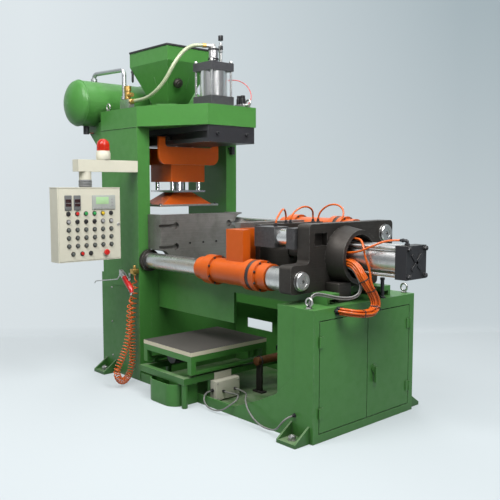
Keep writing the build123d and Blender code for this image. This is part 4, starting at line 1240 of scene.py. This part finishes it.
@dataclass
class WeldedFrame:
    """Base, columns, head and cabinet, with their bolts, seams and lifting eyes."""

    foot_x: float = 0.97
    foot_y: float = 0.51
    foot_top: float = 0.020
    head_top: float = 1.916
    head_bottom: float = 1.780
    cabinet_top: float = 0.725

    def dress(self) -> None:
        """Paints the frame's nodes."""
        dress(GREEN, "columns", "column_cover", "pedestal", "near_side_plate", "far_side_plate", "cabinet",
              "cabinet_left_door", "cabinet_right_door", "press_head", "bed_rails")
        dress(GREEN_LOW, "bay_floor", "anchor_feet")
        dress(BLACK, "press_block")

    def build(self) -> None:
        """Adds the anchor nuts, lifting eyes, screws, limit switch, stop post and seams."""
        spots = [(sx * self.foot_x, sy * self.foot_y, self.foot_top) for sx in (-1, 1) for sy in (-1, 1)]
        make("anchor_nuts", bolt(0.036).at_all(spots), ZINC, "frame")
        eyes = [(-1.02, -0.41, self.head_top), (-1.02, 0.41, self.head_top), (-0.145, 0.18, self.head_top),
                (1.008, -0.425, self.cabinet_top), (1.008, 0.425, self.cabinet_top)]
        make("lifting_eyes", eye_bolt(0.022).at_all(eyes), ZINC, "frame")
        cover = [(-0.955 + dx, -0.454, 0.11 + dz) for dx in (0.016, 0.249) for dz in (0.016, 0.27, 0.524)]
        make("cover_screws", cap_screw(0.012).turned("-Y").at_all(cover), ZINC, "frame")
        sockets = [(-0.110, y, 1.725) for y in (-0.13, 0.13)]
        make("block_screws", cap_screw(0.026).turned("X").at_all(sockets), BLACK, "frame")
        switch = slab(0.028, 0.034, 0.060, 0.004).moved((-0.571, 0.399, 1.615))
        plunger = lathe([(0.006, 0), (0.006, 0.020), (0.004, 0.022)], 14)
        switch += plunger.turned("-Y").moved((-0.571, 0.382, 1.660))
        make("limit_switch", switch, DARK_PLASTIC, "frame")
        post = lathe([(0.020, 0), (0.020, 0.006), (0.011, 0.010), (0.011, 0.104), (0.014, 0.106),
                      (0.014, 0.118), (0.010, 0.120)], 20).moved((1.040, 0.165, self.cabinet_top))
        make("stop_post", post, BLACK, "frame")
        self.seams()

    def seams(self) -> None:
        """Adds the weld beads where plates and columns meet: a round bead half sunk along each joint."""
        bead, side, low = circle(0.0035, 8), 0.4515, self.head_bottom
        level, upright = (0.3, 0.2, 0.93), (1.0, 0.1, 0)
        lines = [((-0.585, -side, 0.01), (-0.585, -side, 0.06), upright),
                 ((-1.06, -side, low), (-0.59, -side, low), level),
                 ((-1.06, side, low), (-0.59, side, low), level),
                 ((-1.0665, -0.345, low), (-1.0665, 0.345, low), level)]
        shape = joined([swept(bead, np.linspace(start, end, 40), up) for start, end, up in lines])
        make("weld_seams", shape, GREEN, "frame")


@dataclass
class HeadGear:
    """Press cylinder, hopper, tank, pipe and valves on top of the head."""

    press_x: float = -0.305
    cap_reach: float = 0.086
    rim_top: float = 2.368
    tank_x: float = -1.245
    tank_z: float = 1.990
    tank_radius: float = 0.167
    press_top: float = 2.217
    valves_y: float = 0.135

    def dress(self) -> None:
        """Gives the head gear's nodes their finishes."""
        dress(GREEN, "hopper", "hopper_base", "air_tank", "tank_ends", "tank_saddles")
        dress(PRESS_TUBE, "press_cylinder")
        dress(BRIGHT, "pilot_cylinder", "valve_block")
        dress(GALVANISED, "air_pipe")
        dress(BRASS, "air_valve")
        dress(BLACK, "drain_valve")

    def build(self) -> None:
        """Adds the cylinder's nuts, the hopper's trim, the tank's seams, the valves and fittings."""
        r = self.cap_reach
        corners = [(self.press_x + sx * r, sy * r, self.press_top) for sx in (-1, 1) for sy in (-1, 1)]
        make("press_nuts", bolt(0.022).at_all(corners), ZINC, "frame")
        self.hopper_trim()
        self.tank_seams()
        self.pilot()
        self.solenoids()

    def hopper_trim(self) -> None:
        """Rubber edging round the rim, the rim's leg, ribs on the funnel and the vibrator's boss."""
        edge = rounded_outline(0.484, 0.390, 0.004, 4)
        path = np.column_stack([edge + np.array([-0.819, 0.0]), np.full(len(edge), self.rim_top)])
        make("rim_trim", swept(rounded_outline(0.012, 0.014, 0.003, 3), path, (0, 0, 1), True), RUBBER,
             "frame")
        boss = lathe([(0.034, -0.02), (0.034, 0.018), (0.030, 0.024), (0.022, 0.024), (0.020, 0.034),
                      (0.010, 0.036)], 28)
        tilt = math.atan2(0.292, 0.147)
        face = np.array([math.sin(tilt), 0, -math.cos(tilt)])
        turn = np.column_stack([np.array([math.cos(tilt), 0, math.sin(tilt)]), np.array([0, 1.0, 0]), face])
        point = np.array([-0.648, -0.058, 2.120]) + face * 0.004
        boss = Shape(boss.points @ turn.T + point, boss.faces)
        make("vibrator", boss, IRON, "frame")
        lines = [((-0.795, -0.132, 2.095), (-0.795, -0.1585, 2.165)),
                 ((-0.666, 0.033, 2.085), (-0.626, 0.033, 2.165))]
        ribs = joined([tapered(np.linspace(low, high, 4), np.full(4, 0.0035), 8) for low, high in lines])
        make("funnel_ribs", ribs, GREEN, "frame")
        leg = lathe([(0.004, 0), (0.009, 0.010), (0.009, 0.070), (0.013, 0.072), (0.013, 0.082),
                     (0.009, 0.084), (0.009, 0.112)], 18).moved((-1.048, -0.180, 2.152))
        make("rim_leg", leg, BLACK, "frame")

    def tank_seams(self) -> None:
        """Weld rings where the ends meet the shell, collars on the pipe and the drain valve's lever."""
        ring = torus(self.tank_radius + 0.0005, 0.004, 72).turned("Y")
        make("tank_seams", ring.at_all([(self.tank_x, y, self.tank_z) for y in (-0.535, 0.0, 0.535)]), GREEN,
             "frame")
        collar = lathe([(0.018, 0), (0.024, 0.003), (0.024, 0.024), (0.018, 0.027)], 24)
        spots = [(self.tank_x, -0.395, self.tank_z + self.tank_radius - 0.002), (-0.905, -0.345, 1.996)]
        make("pipe_collars", collar.at_all(spots), GALVANISED, "frame")
        lever = slab(0.012, 0.085, 0.005, 0.004, 0.001).moved((self.tank_x, -0.43, 1.770))
        make("drain_lever", lever, RED_CAP, "frame")

    def pilot(self) -> None:
        """Pilot cylinder's rings and the level sensor with its bright stem and black head."""
        band = lathe([(0.0345, 0), (0.0375, 0.002), (0.0375, 0.012), (0.0345, 0.014)], 32)
        make("pilot_rings", band.at_all([(self.press_x, 0, z) for z in (2.241, 2.306)]), BLACK, "frame")
        x, y, low = self.press_x, 0.066, self.press_top
        stem = lathe([(0.011, 0), (0.011, 0.150)], 20).moved((x, y, low))
        stem += hexagon(0.028, 0.014).moved((x, y, low)) + hexagon(0.028, 0.012).moved((x, y, low + 0.085))
        make("level_sensor_stem", stem, BRIGHT, "frame", ("level_sensor",))
        head = slab(0.028, 0.028, 0.036, 0.006).moved((x, y, low + 0.165))
        head += slab(0.030, 0.020, 0.030, 0.004).moved((x, y, low + 0.100))
        make("level_sensor_head", head, DARK_PLASTIC, "frame")

    def solenoids(self) -> None:
        """Pilot valves beside the press cylinder: a manifold, two coils and their plugs."""
        base = slab(0.10, 0.045, 0.022, 0.004).moved((-0.165, self.valves_y, 1.916))
        stub = lathe([(0.010, 0), (0.010, 0.016), (0.007, 0.030)], 16)
        base += stub.turned("X").moved((-0.115, self.valves_y, 1.928))
        make("valve_manifold", base, ALLOY, "frame")
        coil = slab(0.028, 0.030, 0.040, 0.004)
        plug = slab(0.022, 0.026, 0.020, 0.004).moved((0, 0, 0.041))
        coils = (coil + plug).at_all([(x, self.valves_y, 1.938) for x in (-0.19, -0.15)])
        make("valve_coils", coils, DARK_PLASTIC, "frame")


class Button(Enum):
    """Kinds of button on the panel, by the letter that stands for each in its layout."""

    SELECTOR = "K"
    RED = "R"
    GREEN = "G"
    YELLOW = "Y"
    GREY = "g"
    LOWER_RED = "r"
    SMOKE = "d"
    STOP = "S"


CAP_FINISHES: dict[Button, Moulded] = {
    Button.RED: RED_CAP,
    Button.GREEN: GREEN_CAP,
    Button.YELLOW: YELLOW_CAP,
    Button.GREY: GREY_CAP,
    Button.LOWER_RED: RED_CAP,
    Button.SMOKE: SMOKE_CAP,
}


@dataclass
class ControlPanel:
    """Swivelling panel with its controllers, display, buttons and beacon."""

    face: float = -0.565
    centre_y: float = -0.832
    bottom: float = 0.885
    first_row: float = 0.312
    pitch_y: float = 0.062
    pitch_z: float = 0.052
    glass_depth: float = 0.0055
    layout: tuple[str, ...] = ("KRGGYK", "gKKKgg", "dddddd", "dddddd", "dddddd", "drKS")
    last_row: tuple[float, ...] = (0.45, 1.5, 2.5, 4.3)
    middle_column: float = 2.5
    controllers: tuple[tuple[float, float], ...] = ((-0.9875, 1.267), (-0.924, 1.267))
    controller_size: tuple[float, float] = (0.048, 0.096)
    display: tuple[float, float] = (-0.731, 1.268)
    display_size: tuple[float, float] = (0.172, 0.094)
    neck_x: float = -0.620
    beacon_place: Point = (-0.620, -0.694, 1.547)

    def spot(self, row: int, column: int) -> Point:
        """Centre of a button on the panel's face, with the last row at its own spacing.

        Args:
            row: number of the row, from the top.
            column: number of the button in its row.
        Returns:
            The place on the face.
        """
        step = self.last_row[column] if row == len(self.layout) - 1 else column
        return (self.face, self.centre_y + (step - self.middle_column) * self.pitch_y,
                self.bottom + self.first_row - row * self.pitch_z)

    def dress(self) -> None:
        """Gives the panel's nodes their finishes."""
        dress(CREAM, "control_panel", "control_arm", "junction_box")

    def build(self) -> None:
        """Adds the buttons, screens, lock and beacon."""
        places: dict[Button, list[Point]] = {}
        for row, letters in enumerate(self.layout):
            for column, letter in enumerate(letters):
                places.setdefault(Button(letter), []).append(self.spot(row, column))
        every = [spot for kind, spots in places.items() for spot in spots if kind is not Button.STOP]
        bezel = lathe([(0.0150, 0), (0.0150, 0.004), (0.0138, 0.006), (0.0118, 0.006), (0.0115, 0.002),
                       (0.0005, 0.002)], 28).turned("X")
        make("button_bezels", bezel.at_all(every), DARK_PLASTIC, "panel", ("panel_buttons",))
        cap = lathe([(0.0108, 0.002), (0.0108, 0.009), (0.0098, 0.0112), (0.006, 0.0122), (0.0005, 0.0124)],
                    28).turned("X")
        knob = slab(0.007, 0.023, 0.013, 0.003, 0.0015).turned("X")
        for kind, finish in CAP_FINISHES.items():
            make(f"button_caps_{finish.name}_{ord(kind.value)}", cap.at_all(places[kind]), finish, "panel")
        make("selector_knobs", (knob + cap).at_all(places[Button.SELECTOR]), DARK_PLASTIC, "panel")
        stop = lathe([(0.012, 0), (0.012, 0.010), (0.0195, 0.012), (0.0200, 0.018), (0.017, 0.023),
                      (0.0005, 0.024)], 32).turned("X")
        make("stop_button", stop.at_all(places[Button.STOP]), RED_CAP, "panel")
        self.screens()
        self.beacon()

    def screens(self) -> None:
        """Bezels, windows and keys of the controllers and the display, then the lock, drip edge and boot."""
        glass = self.face + self.glass_depth
        (wide, tall), (y, z), (width, height) = self.controller_size, self.display, self.display_size
        rim = slab(width, height, 0.006, 0.004, 0.0015).turned("X").moved((self.face, y, z))
        make("display_bezel", rim, DISPLAY_GREY, "panel", ("panel_screens",))
        bezel = slab(wide, tall, 0.006, 0.004, 0.0015).turned("X")
        bezels = bezel.at_all([(self.face, *place) for place in self.controllers])
        make("controller_bezels", bezels, CONTROLLER_GREY, "panel", ("panel_screens",))
        panes = [slab(wide * 0.8, pane, 0.0012, 0.002, 0.0004).turned("X").moved((glass, at_y, at_z + low))
                 for at_y, at_z in self.controllers for low, pane in ((0.012, 0.022), (-0.014, 0.018))]
        make("controller_windows", joined(panes), GLASS_DARK, "panel")
        window = slab(width * 0.55, height * 0.5, 0.0012, 0.002, 0.0004).turned("X")
        make("display_window", window.moved((glass, y - 0.012, z + 0.012)), GLASS_GREEN, "panel")
        keys = [(glass, y + dy, z - 0.036) for dy in (-0.066, -0.042, -0.018, 0.006, 0.030)]
        keys += [(glass, -0.668, z + dz) for dz in (-0.02, 0.0, 0.02)]
        key = slab(0.014, 0.009, 0.002, 0.002, 0.0006).turned("X")
        make("display_keys", key.at_all(keys), GREY_CAP, "panel")
        lock = lathe([(0.011, 0), (0.011, 0.004), (0.008, 0.006), (0.003, 0.006)], 24).turned("X")
        make("panel_lock", lock.at_all([(self.face, -0.622, 1.12)]), ZINC, "panel")
        drip = slab(0.110, 0.459, 0.004, 0.003, 0.001).moved((self.neck_x, self.centre_y, 1.3625))
        make("panel_drip_edge", drip, CREAM, "panel")
        rib = [(0.0405 + 0.004 * (k % 2), 0.005 + 0.005 * k) for k in range(9)]
        boot = lathe([(0.0405, 0.001), *rib, (0.0405, 0.050)], 36).moved((self.neck_x, self.centre_y, 1.366))
        make("neck_boot", boot, BOOT, "panel")

    def beacon(self) -> None:
        """Beacon: turned base, red dome with a rounded top, and the lamp inside it."""
        base = lathe([(0.030, 0), (0.044, 0.002), (0.047, 0.008), (0.047, 0.048), (0.044, 0.054),
                      (0.044, 0.062)], 40)
        make("beacon_base", base.moved(self.beacon_place), CREAM, "frame", ("beacon",))
        rise = np.linspace(0, np.pi / 2, 9)
        wide, shoulder = 0.043, 0.096
        outer = [(wide, 0.060), (wide, shoulder)]
        outer += list(zip(wide * np.cos(rise), shoulder + 0.046 * np.sin(rise)))
        outer[-1] = (0.0006, outer[-1][1])
        make("beacon_dome", lathe(outer, 40).moved(self.beacon_place), DOME, "frame")
        lamp = lathe([(0.018, 0.058), (0.018, 0.075), (0.012, 0.082), (0.014, 0.100), (0.008, 0.115),
                      (0.0005, 0.117)], 20)
        make("beacon_lamp", lamp.moved(self.beacon_place), BRIGHT, "frame")


@dataclass
class BlowHead:
    """Orange blow head that hangs under the press block."""

    chamber_top: float = 1.640
    flange_top: float = 1.240

    def dress(self) -> None:
        """Gives the blow head's nodes their finishes."""
        dress(ORANGE, "blow_chamber", "hanger_yoke", "blow_cone")
        dress(CHROME, "blow_pillars")
        dress(IRON, "yoke_rollers")

    def build(self) -> None:
        """Adds the blow plate's steel rim, the chamber's bosses and the cone flange's screws."""
        low, high = (np.array(corner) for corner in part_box("blow_cone"))
        middle, size = (low + high) / 2, high - low
        edge = rounded_outline(size[0], size[1], 0.003, 4) + middle[:2]
        path = np.column_stack([edge, np.full(len(edge), low[2] + 0.0075)])
        make("blow_plate_rim", swept(rounded_outline(0.005, 0.014, 0.001, 3), path, (0, 0, 1), True), ZINC,
             "blow_head")
        boss = lathe([(0.020, 0), (0.020, 0.013), (0.016, 0.016), (0.008, 0.016), (0.008, 0.021),
                      (0.006, 0.022)], 24)
        make("chamber_bosses", boss.at_all([(-0.610, y, self.chamber_top) for y in (-0.10, 0.045)]), ZINC,
             "blow_head")
        screws = [(x, y, self.flange_top) for x in (-0.865, -0.733, -0.601) for y in (-0.25, 0.25)]
        make("flange_screws", cap_screw(0.018).at_all(screws), BLACK, "blow_head")


@dataclass
class ClampUnit:
    """Tie bars, end plate, sleeves, platens and the clamp cylinder."""

    centre: float = 0.972
    bar_y: float = 0.371
    bar_rise: float = 0.116
    plate_front: float = 0.895
    cap_end: float = 1.382
    column_face: float = -0.585
    cap_reach: float = 0.073
    screw_circle: float = 0.0845
    screw_count: int = 8
    sleeve_flanges: tuple[float, float] = (0.190, 0.600)
    port_y: float = -0.035

    def bars(self) -> list[tuple[float, float]]:
        """Places of the two tie bars across the machine."""
        return [(-self.bar_y, self.centre - self.bar_rise), (self.bar_y, self.centre + self.bar_rise)]

    def dress(self) -> None:
        """Gives the clamp unit's nodes their finishes."""
        dress(BRIGHT, "tie_bars", "stop_collars", "clamp_tie_rods")
        dress(IRON, "end_plate", "ejector_plate")
        dress(PLATEN, "moving_platen", "fixed_platen")
        dress(ORANGE, "guide_sleeves")
        dress(ALLOY, "clamp_barrel")
        dress(CHROME, "clamp_rod")
        dress(BLACK, "clamp_caps")
        dress(EJECTOR_TUBE, "ejector_cylinders")

    def build(self) -> None:
        """Adds nuts, the boss's foot, the bars' flange rings, sleeve screws and the rear cap's fittings."""
        nut = lathe([(0.052, 0), (0.052, 0.016), (0.047, 0.022), (0.030, 0.022), (0.028, 0.018),
                     (0.010, 0.018), (0.009, 0.006), (0.0005, 0.006)], 40).turned("X")
        make("tie_bar_end_nuts", nut.at_all([(self.plate_front, y, z) for y, z in self.bars()]), BRIGHT,
             "frame", ("tie_bar_nuts",))
        r = self.cap_reach
        caps = [(self.cap_end, sy * r, self.centre + sz * r) for sy in (-1, 1) for sz in (-1, 1)]
        make("cylinder_nuts", bolt(0.024).turned("X").at_all(caps), BLACK, "frame")
        foot = slab(0.098, 0.110, 0.108, 0.006, 0.004).moved((0.945, -0.115, 0.7255))
        make("boss_foot", foot, IRON, "frame")
        cover = lathe([(0.0752, 0), (0.0765, 0), (0.0765, 0.0295), (0.0755, 0.0315), (0.0565, 0.0315),
                       (0.0565, 0.0302), (0.0752, 0.0302)], 48, wrap=True).turned("X")
        make("bar_flange_rings", cover.at_all([(self.column_face, y, z) for y, z in self.bars()]), IRON,
             "frame")
        self.sleeve_screws()
        self.cap_face()

    def sleeve_screws(self) -> None:
        """Bands on the sleeves and rings of screws: place(k) = centre + r (cos, sin)(2 pi (k + 1/2) / n)."""
        count = self.screw_count
        around = np.linspace(0, 2 * np.pi, count, endpoint=False) + np.pi / count
        across, up = self.screw_circle * np.cos(around), self.screw_circle * np.sin(around)
        spots = [tuple(p) for y, z in self.bars() for x in self.sleeve_flanges
                 for p in np.column_stack([np.full(count, x), y + across, z + up])]
        band = lathe([(0.070, 0), (0.089, 0.001), (0.089, 0.027), (0.070, 0.028)], 48).turned("X")
        make("sleeve_bands", band.at_all([(0.531, y, z) for y, z in self.bars()]), BLACK, "carriage")
        make("sleeve_screws", cap_screw(0.012).turned("X").at_all(spots), BLACK, "carriage")

    def cap_face(self) -> None:
        """Cross ribs on the rear cap's face and the elbow of its air port."""
        rib = slab(0.020, 0.120, 0.006, 0.004, 0.002)
        cross = rib.spun(45) + rib.spun(-45)
        make("cap_ribs", cross.turned("X").moved((1.3815, 0, self.centre)), BLACK, "frame")
        elbow = hexagon(0.026, 0.012).moved((1.346, self.port_y, 1.061))
        bend = np.array([(x, self.port_y, z) for x, z in (
            (1.346, 1.066), (1.346, 1.076), (1.344, 1.0835), (1.338, 1.087), (1.330, 1.087), (1.316, 1.087))])
        elbow += tapered(bend, np.array([0.0095, 0.0095, 0.0100, 0.0095, 0.0085, 0.0075]))
        make("port_elbow", elbow, DARK_PLASTIC, "frame")


@dataclass
class CoreTray:
    """Tray, trolley, rails, pan, junction box and the drive beside them."""

    motor: Point = (-0.117, -0.497, 0.277)
    fin_pitch: float = 0.010
    fin_count: int = 12
    box_face: Point = (0.178, -0.29, 0.0825)
    lid_depth: float = 0.006
    drive_x: float = 0.205
    drive_z: float = 0.225
    drive_near: float = -0.07
    drive_far: float = 0.439
    floor: float = 0.015

    def dress(self) -> None:
        """Gives the tray's nodes their finishes."""
        dress(TRAY_BOARD, "tray_board")
        dress(GREEN, "tray_trolley", "front_pan")
        dress(GREEN_LOW, "tray_rails")
        dress(BLACK, "tray_motor")

    def build(self) -> None:
        """Adds the motor's fins, the junction box's lid with its screws, and the drive."""
        fin = lathe([(0.048, 0), (0.0515, 0.001), (0.0515, 0.003), (0.048, 0.004)], 28).turned("Y")
        x, y, z = self.motor
        fins = fin.at_all([(x, y + k * self.fin_pitch, z) for k in range(self.fin_count)])
        make("motor_fins", fins, BLACK, "tray")
        lid = slab(0.196, 0.121, self.lid_depth, 0.004, 0.002).turned("X").moved(self.box_face)
        make("box_lid", lid, CREAM, "frame")
        x, y, z = self.box_face
        screws = [(x + self.lid_depth, y + sy * 0.086, z + sz * 0.048) for sy in (-1, 1) for sz in (-1, 1)]
        make("lid_screws", cap_screw(0.008).turned("X").at_all(screws), ZINC, "frame")
        self.drive()

    def drive(self) -> None:
        """Adds the tray's drive: a rusty tube on a foot and a dark one, both held by the far side plate."""
        x, level = self.drive_x, self.drive_z
        run, flange = self.drive_far - self.drive_near, 0.012
        tube = lathe([(0.020, 0), (0.0275, 0.004), (0.0275, run - flange), (0.040, run - flange),
                      (0.040, run)], 28)
        make("tray_drive_tube", tube.turned("Y").moved((x, self.drive_near, level)), RUSTED, "frame")
        upper = [(0.012, 0), (0.020, 0.003), (0.026, 0.012), (0.026, 0.090), (0.023, 0.094), (0.023, 0.300),
                 (0.036, 0.300), (0.036, 0.309)]
        make("tray_drive_motor", lathe(upper, 28).turned("Y").moved((x, 0.130, 0.283)), BLACK, "frame")
        y = self.drive_near + 0.035
        foot = slab(0.090, 0.050, 0.010, 0.004, 0.002).moved((x, y, self.floor))
        foot += slab(0.050, 0.018, 0.176, 0.004, 0.002).moved((x, y, self.floor + 0.009))
        foot += torus(0.030, 0.006).turned("Y").moved((x, y, level))
        make("tray_drive_foot", foot, IRON, "frame")


# Stage

def stage_material(across: Array) -> bpy.types.Material:
    """Matt backdrop that glows for the camera and in reflections with a painted tone, darker upwards to the
    right.

    Args:
        across: direction along the wall.
    Returns:
        The material.
    """
    material, g, shader = new_material("studio_floor")
    place = g.add("ShaderNodeTexCoord").outputs["Object"]
    height = g.add("ShaderNodeSeparateXYZ", {0: place}).outputs["Z"]
    reach = g.add("ShaderNodeVectorMath", {0: place, 1: tuple(across)}, operation="DOT_PRODUCT")
    climb = g.add("ShaderNodeMapRange", {"Value": height, "From Max": 3.0, "To Min": 0.35}).outputs[0]
    shade = g.maths("MULTIPLY", g.ramp(reach.outputs["Value"], -1.8, 2.1), climb)
    upright = g.ramp(height, 0.0, 0.08)
    pale, deep = (0.716, 0.776, 0.80, 1), (0.345, 0.42, 0.45, 1)
    floor_tone, wall_tone = (0.30, 0.325, 0.335, 1), (0.06, 0.065, 0.07, 1)
    # Painted glow: an emitted tone, darker upwards to the right, seen only by camera and reflection rays; the
    # floor glows more weakly than the wall.
    wall = g.mix(shade, pale, deep)
    path = g.add("ShaderNodeLightPath")
    mirrored = g.maths("MAXIMUM", path.outputs["Is Glossy Ray"], path.outputs["Is Transmission Ray"])
    seen = g.maths("MAXIMUM", path.outputs["Is Camera Ray"], mirrored)
    glow = g.between(upright, 0.50, 0.90)
    matt = g.mix(upright, floor_tone, wall_tone)
    g.feed(shader, {"Base Color": matt, "Emission Color": wall,
                    "Emission Strength": g.maths("MULTIPLY", seen, glow),
                    "Roughness": 0.9, "Specular IOR Level": 0.1})
    lets_by = g.maths("MULTIPLY", upright, path.outputs["Is Shadow Ray"])
    clear = g.maths("MAXIMUM", g.add("ShaderNodeNewGeometry").outputs["Backfacing"], lets_by)
    nothing = g.add("ShaderNodeBsdfTransparent").outputs[0]
    both = g.add("ShaderNodeMixShader", {0: clear, 1: shader.outputs[0], 2: nothing})
    g.tree.links.new(both.outputs[0], g.tree.nodes["Material Output"].inputs["Surface"])
    return material


@dataclass(frozen=True)
class Lamp:
    """Square soft lamp: its place, the point that it looks at, its size, power and beam angle in degrees."""

    name: str
    place: Point
    aim: Point
    size: float
    power: float
    spread: float = 180.0

    def build(self) -> None:
        """Hangs the lamp in the scene, out of the camera's sight."""
        data = bpy.data.lights.new(self.name, "AREA")
        data.size = self.size
        data.energy = self.power
        data.spread = math.radians(self.spread)
        light = bpy.data.objects.new(self.name, data)
        light.location = self.place
        light.rotation_mode = "QUATERNION"
        light.rotation_quaternion = (Vector(self.aim) - Vector(self.place)).to_track_quat("-Z", "Y")
        light.visible_camera = False
        bpy.context.scene.collection.objects.link(light)


LAMPS = (
    Lamp("key", (0.3, -2.7, 4.3), aim=(-0.4, 0.0, 1.5), size=2.2, power=170),
    Lamp("fill", (2.9, -0.7, 4.2), aim=(0.1, 0.0, 1.3), size=2.2, power=205),
    Lamp("top", (-0.4, 0.5, 5.0), aim=(0.1, 0.0, 1.0), size=3.0, power=60),
    Lamp("back", (-2.9, 2.5, 3.3), aim=(-0.3, 0.0, 1.1), size=2.4, power=70),
    Lamp("front", (3.6, -0.5, 1.62), aim=(-0.5, 0.0, 1.60), size=0.6, power=0.5, spread=16.0),
)


@dataclass
class Studio:
    """Pale floor, a plain backdrop that rises from it, the lamps, the world and the camera."""

    bend: float = 0.10
    wall: float = 1.742
    wall_height: float = 9.0
    reach: float = 30.0
    sink: float = 0.0005
    across: Point = (0.630, 0.776, 0.0)
    out: Point = (-0.776, 0.630, 0.0)
    sky: Colour = (0.86, 0.92, 1.0)
    sky_strength: float = 0.17
    camera_place: Point = (3.472173, -3.082063, 1.373566)
    azimuth: float = 47.808
    pitch: float = 5.289
    sensor: float = 36.0
    lens: float = 49.598
    clip: tuple[float, float] = (0.05, 60.0)

    def strip(self, name: str, rows: Array, material: bpy.types.Material) -> None:
        """Wide strip of the stage: a line of places carried along one direction, facing up and inwards.

        Args:
            name: the object's name.
            rows: places along the strip, n x 3.
            material: its material.
        """
        edges = np.array([-self.reach, self.reach])
        points = (rows[:, None] + edges[None, :, None] * np.array(self.across)).reshape(-1, 3)
        r = np.arange(len(rows) - 1)
        quads = np.stack([2 * r, 2 * r + 1, 2 * r + 3, 2 * r + 2], -1)
        mesh = bpy.data.meshes.new(name)
        mesh.from_pydata((points - np.array([0, 0, self.sink])).tolist(), [], quads.tolist())
        mesh.shade_smooth()
        mesh.materials.append(material)
        piece = bpy.data.objects.new(name, mesh)
        bpy.context.scene.collection.objects.link(piece)

    def camera(self) -> None:
        """Camera at the photograph's place and angles."""
        data = bpy.data.cameras.new("camera")
        data.sensor_width, data.lens = self.sensor, self.lens
        data.clip_start, data.clip_end = self.clip
        camera = bpy.data.objects.new("camera", data)
        turn, fall = math.radians(self.azimuth), math.radians(self.pitch)
        level = math.cos(fall)
        ahead = Vector((-math.sin(turn) * level, math.cos(turn) * level, -math.sin(fall)))
        camera.location = self.camera_place
        camera.rotation_mode = "QUATERNION"
        camera.rotation_quaternion = ahead.to_track_quat("-Z", "Y")
        bpy.context.scene.collection.objects.link(camera)
        bpy.context.scene.camera = camera

    def build(self) -> None:
        """Makes the camera, the floor, the backdrop, the lamps and the world."""
        self.camera()
        material = stage_material(np.array(self.across))
        angle = np.linspace(0, np.pi / 2, 12)
        run = np.concatenate([self.wall - self.bend + self.bend * np.sin(angle), [self.wall]])
        rise = np.concatenate([self.bend * (1 - np.cos(angle)), [self.wall_height]])
        self.strip("studio_floor", np.outer([-self.reach, self.reach], self.out), material)
        self.strip("studio_wall", np.outer(run, self.out) + np.outer(rise, (0, 0, 1.0)), material)
        for lamp in LAMPS:
            lamp.build()
        world = bpy.data.worlds.new("studio")
        bpy.context.scene.world = world
        world.use_nodes = True
        backdrop = world.node_tree.nodes["Background"]
        backdrop.inputs["Color"].default_value = four(self.sky)
        backdrop.inputs["Strength"].default_value = self.sky_strength


def main() -> None:
    """Builds the stage and every sub-assembly in order."""
    logging.basicConfig(level=logging.INFO, format="%(message)s")
    bpy.context.scene.view_settings.view_transform = "Standard"
    Studio().build()
    CoiledHose().build(BlowGun().build())
    Hoses().build()
    for part in (WeldedFrame(), HeadGear(), ControlPanel(), BlowHead(), ClampUnit(), CoreTray()):
        part.dress()
        part.build()
        LOG.info("%s is done", type(part).__name__)


if __name__ == "__main__":
    main()
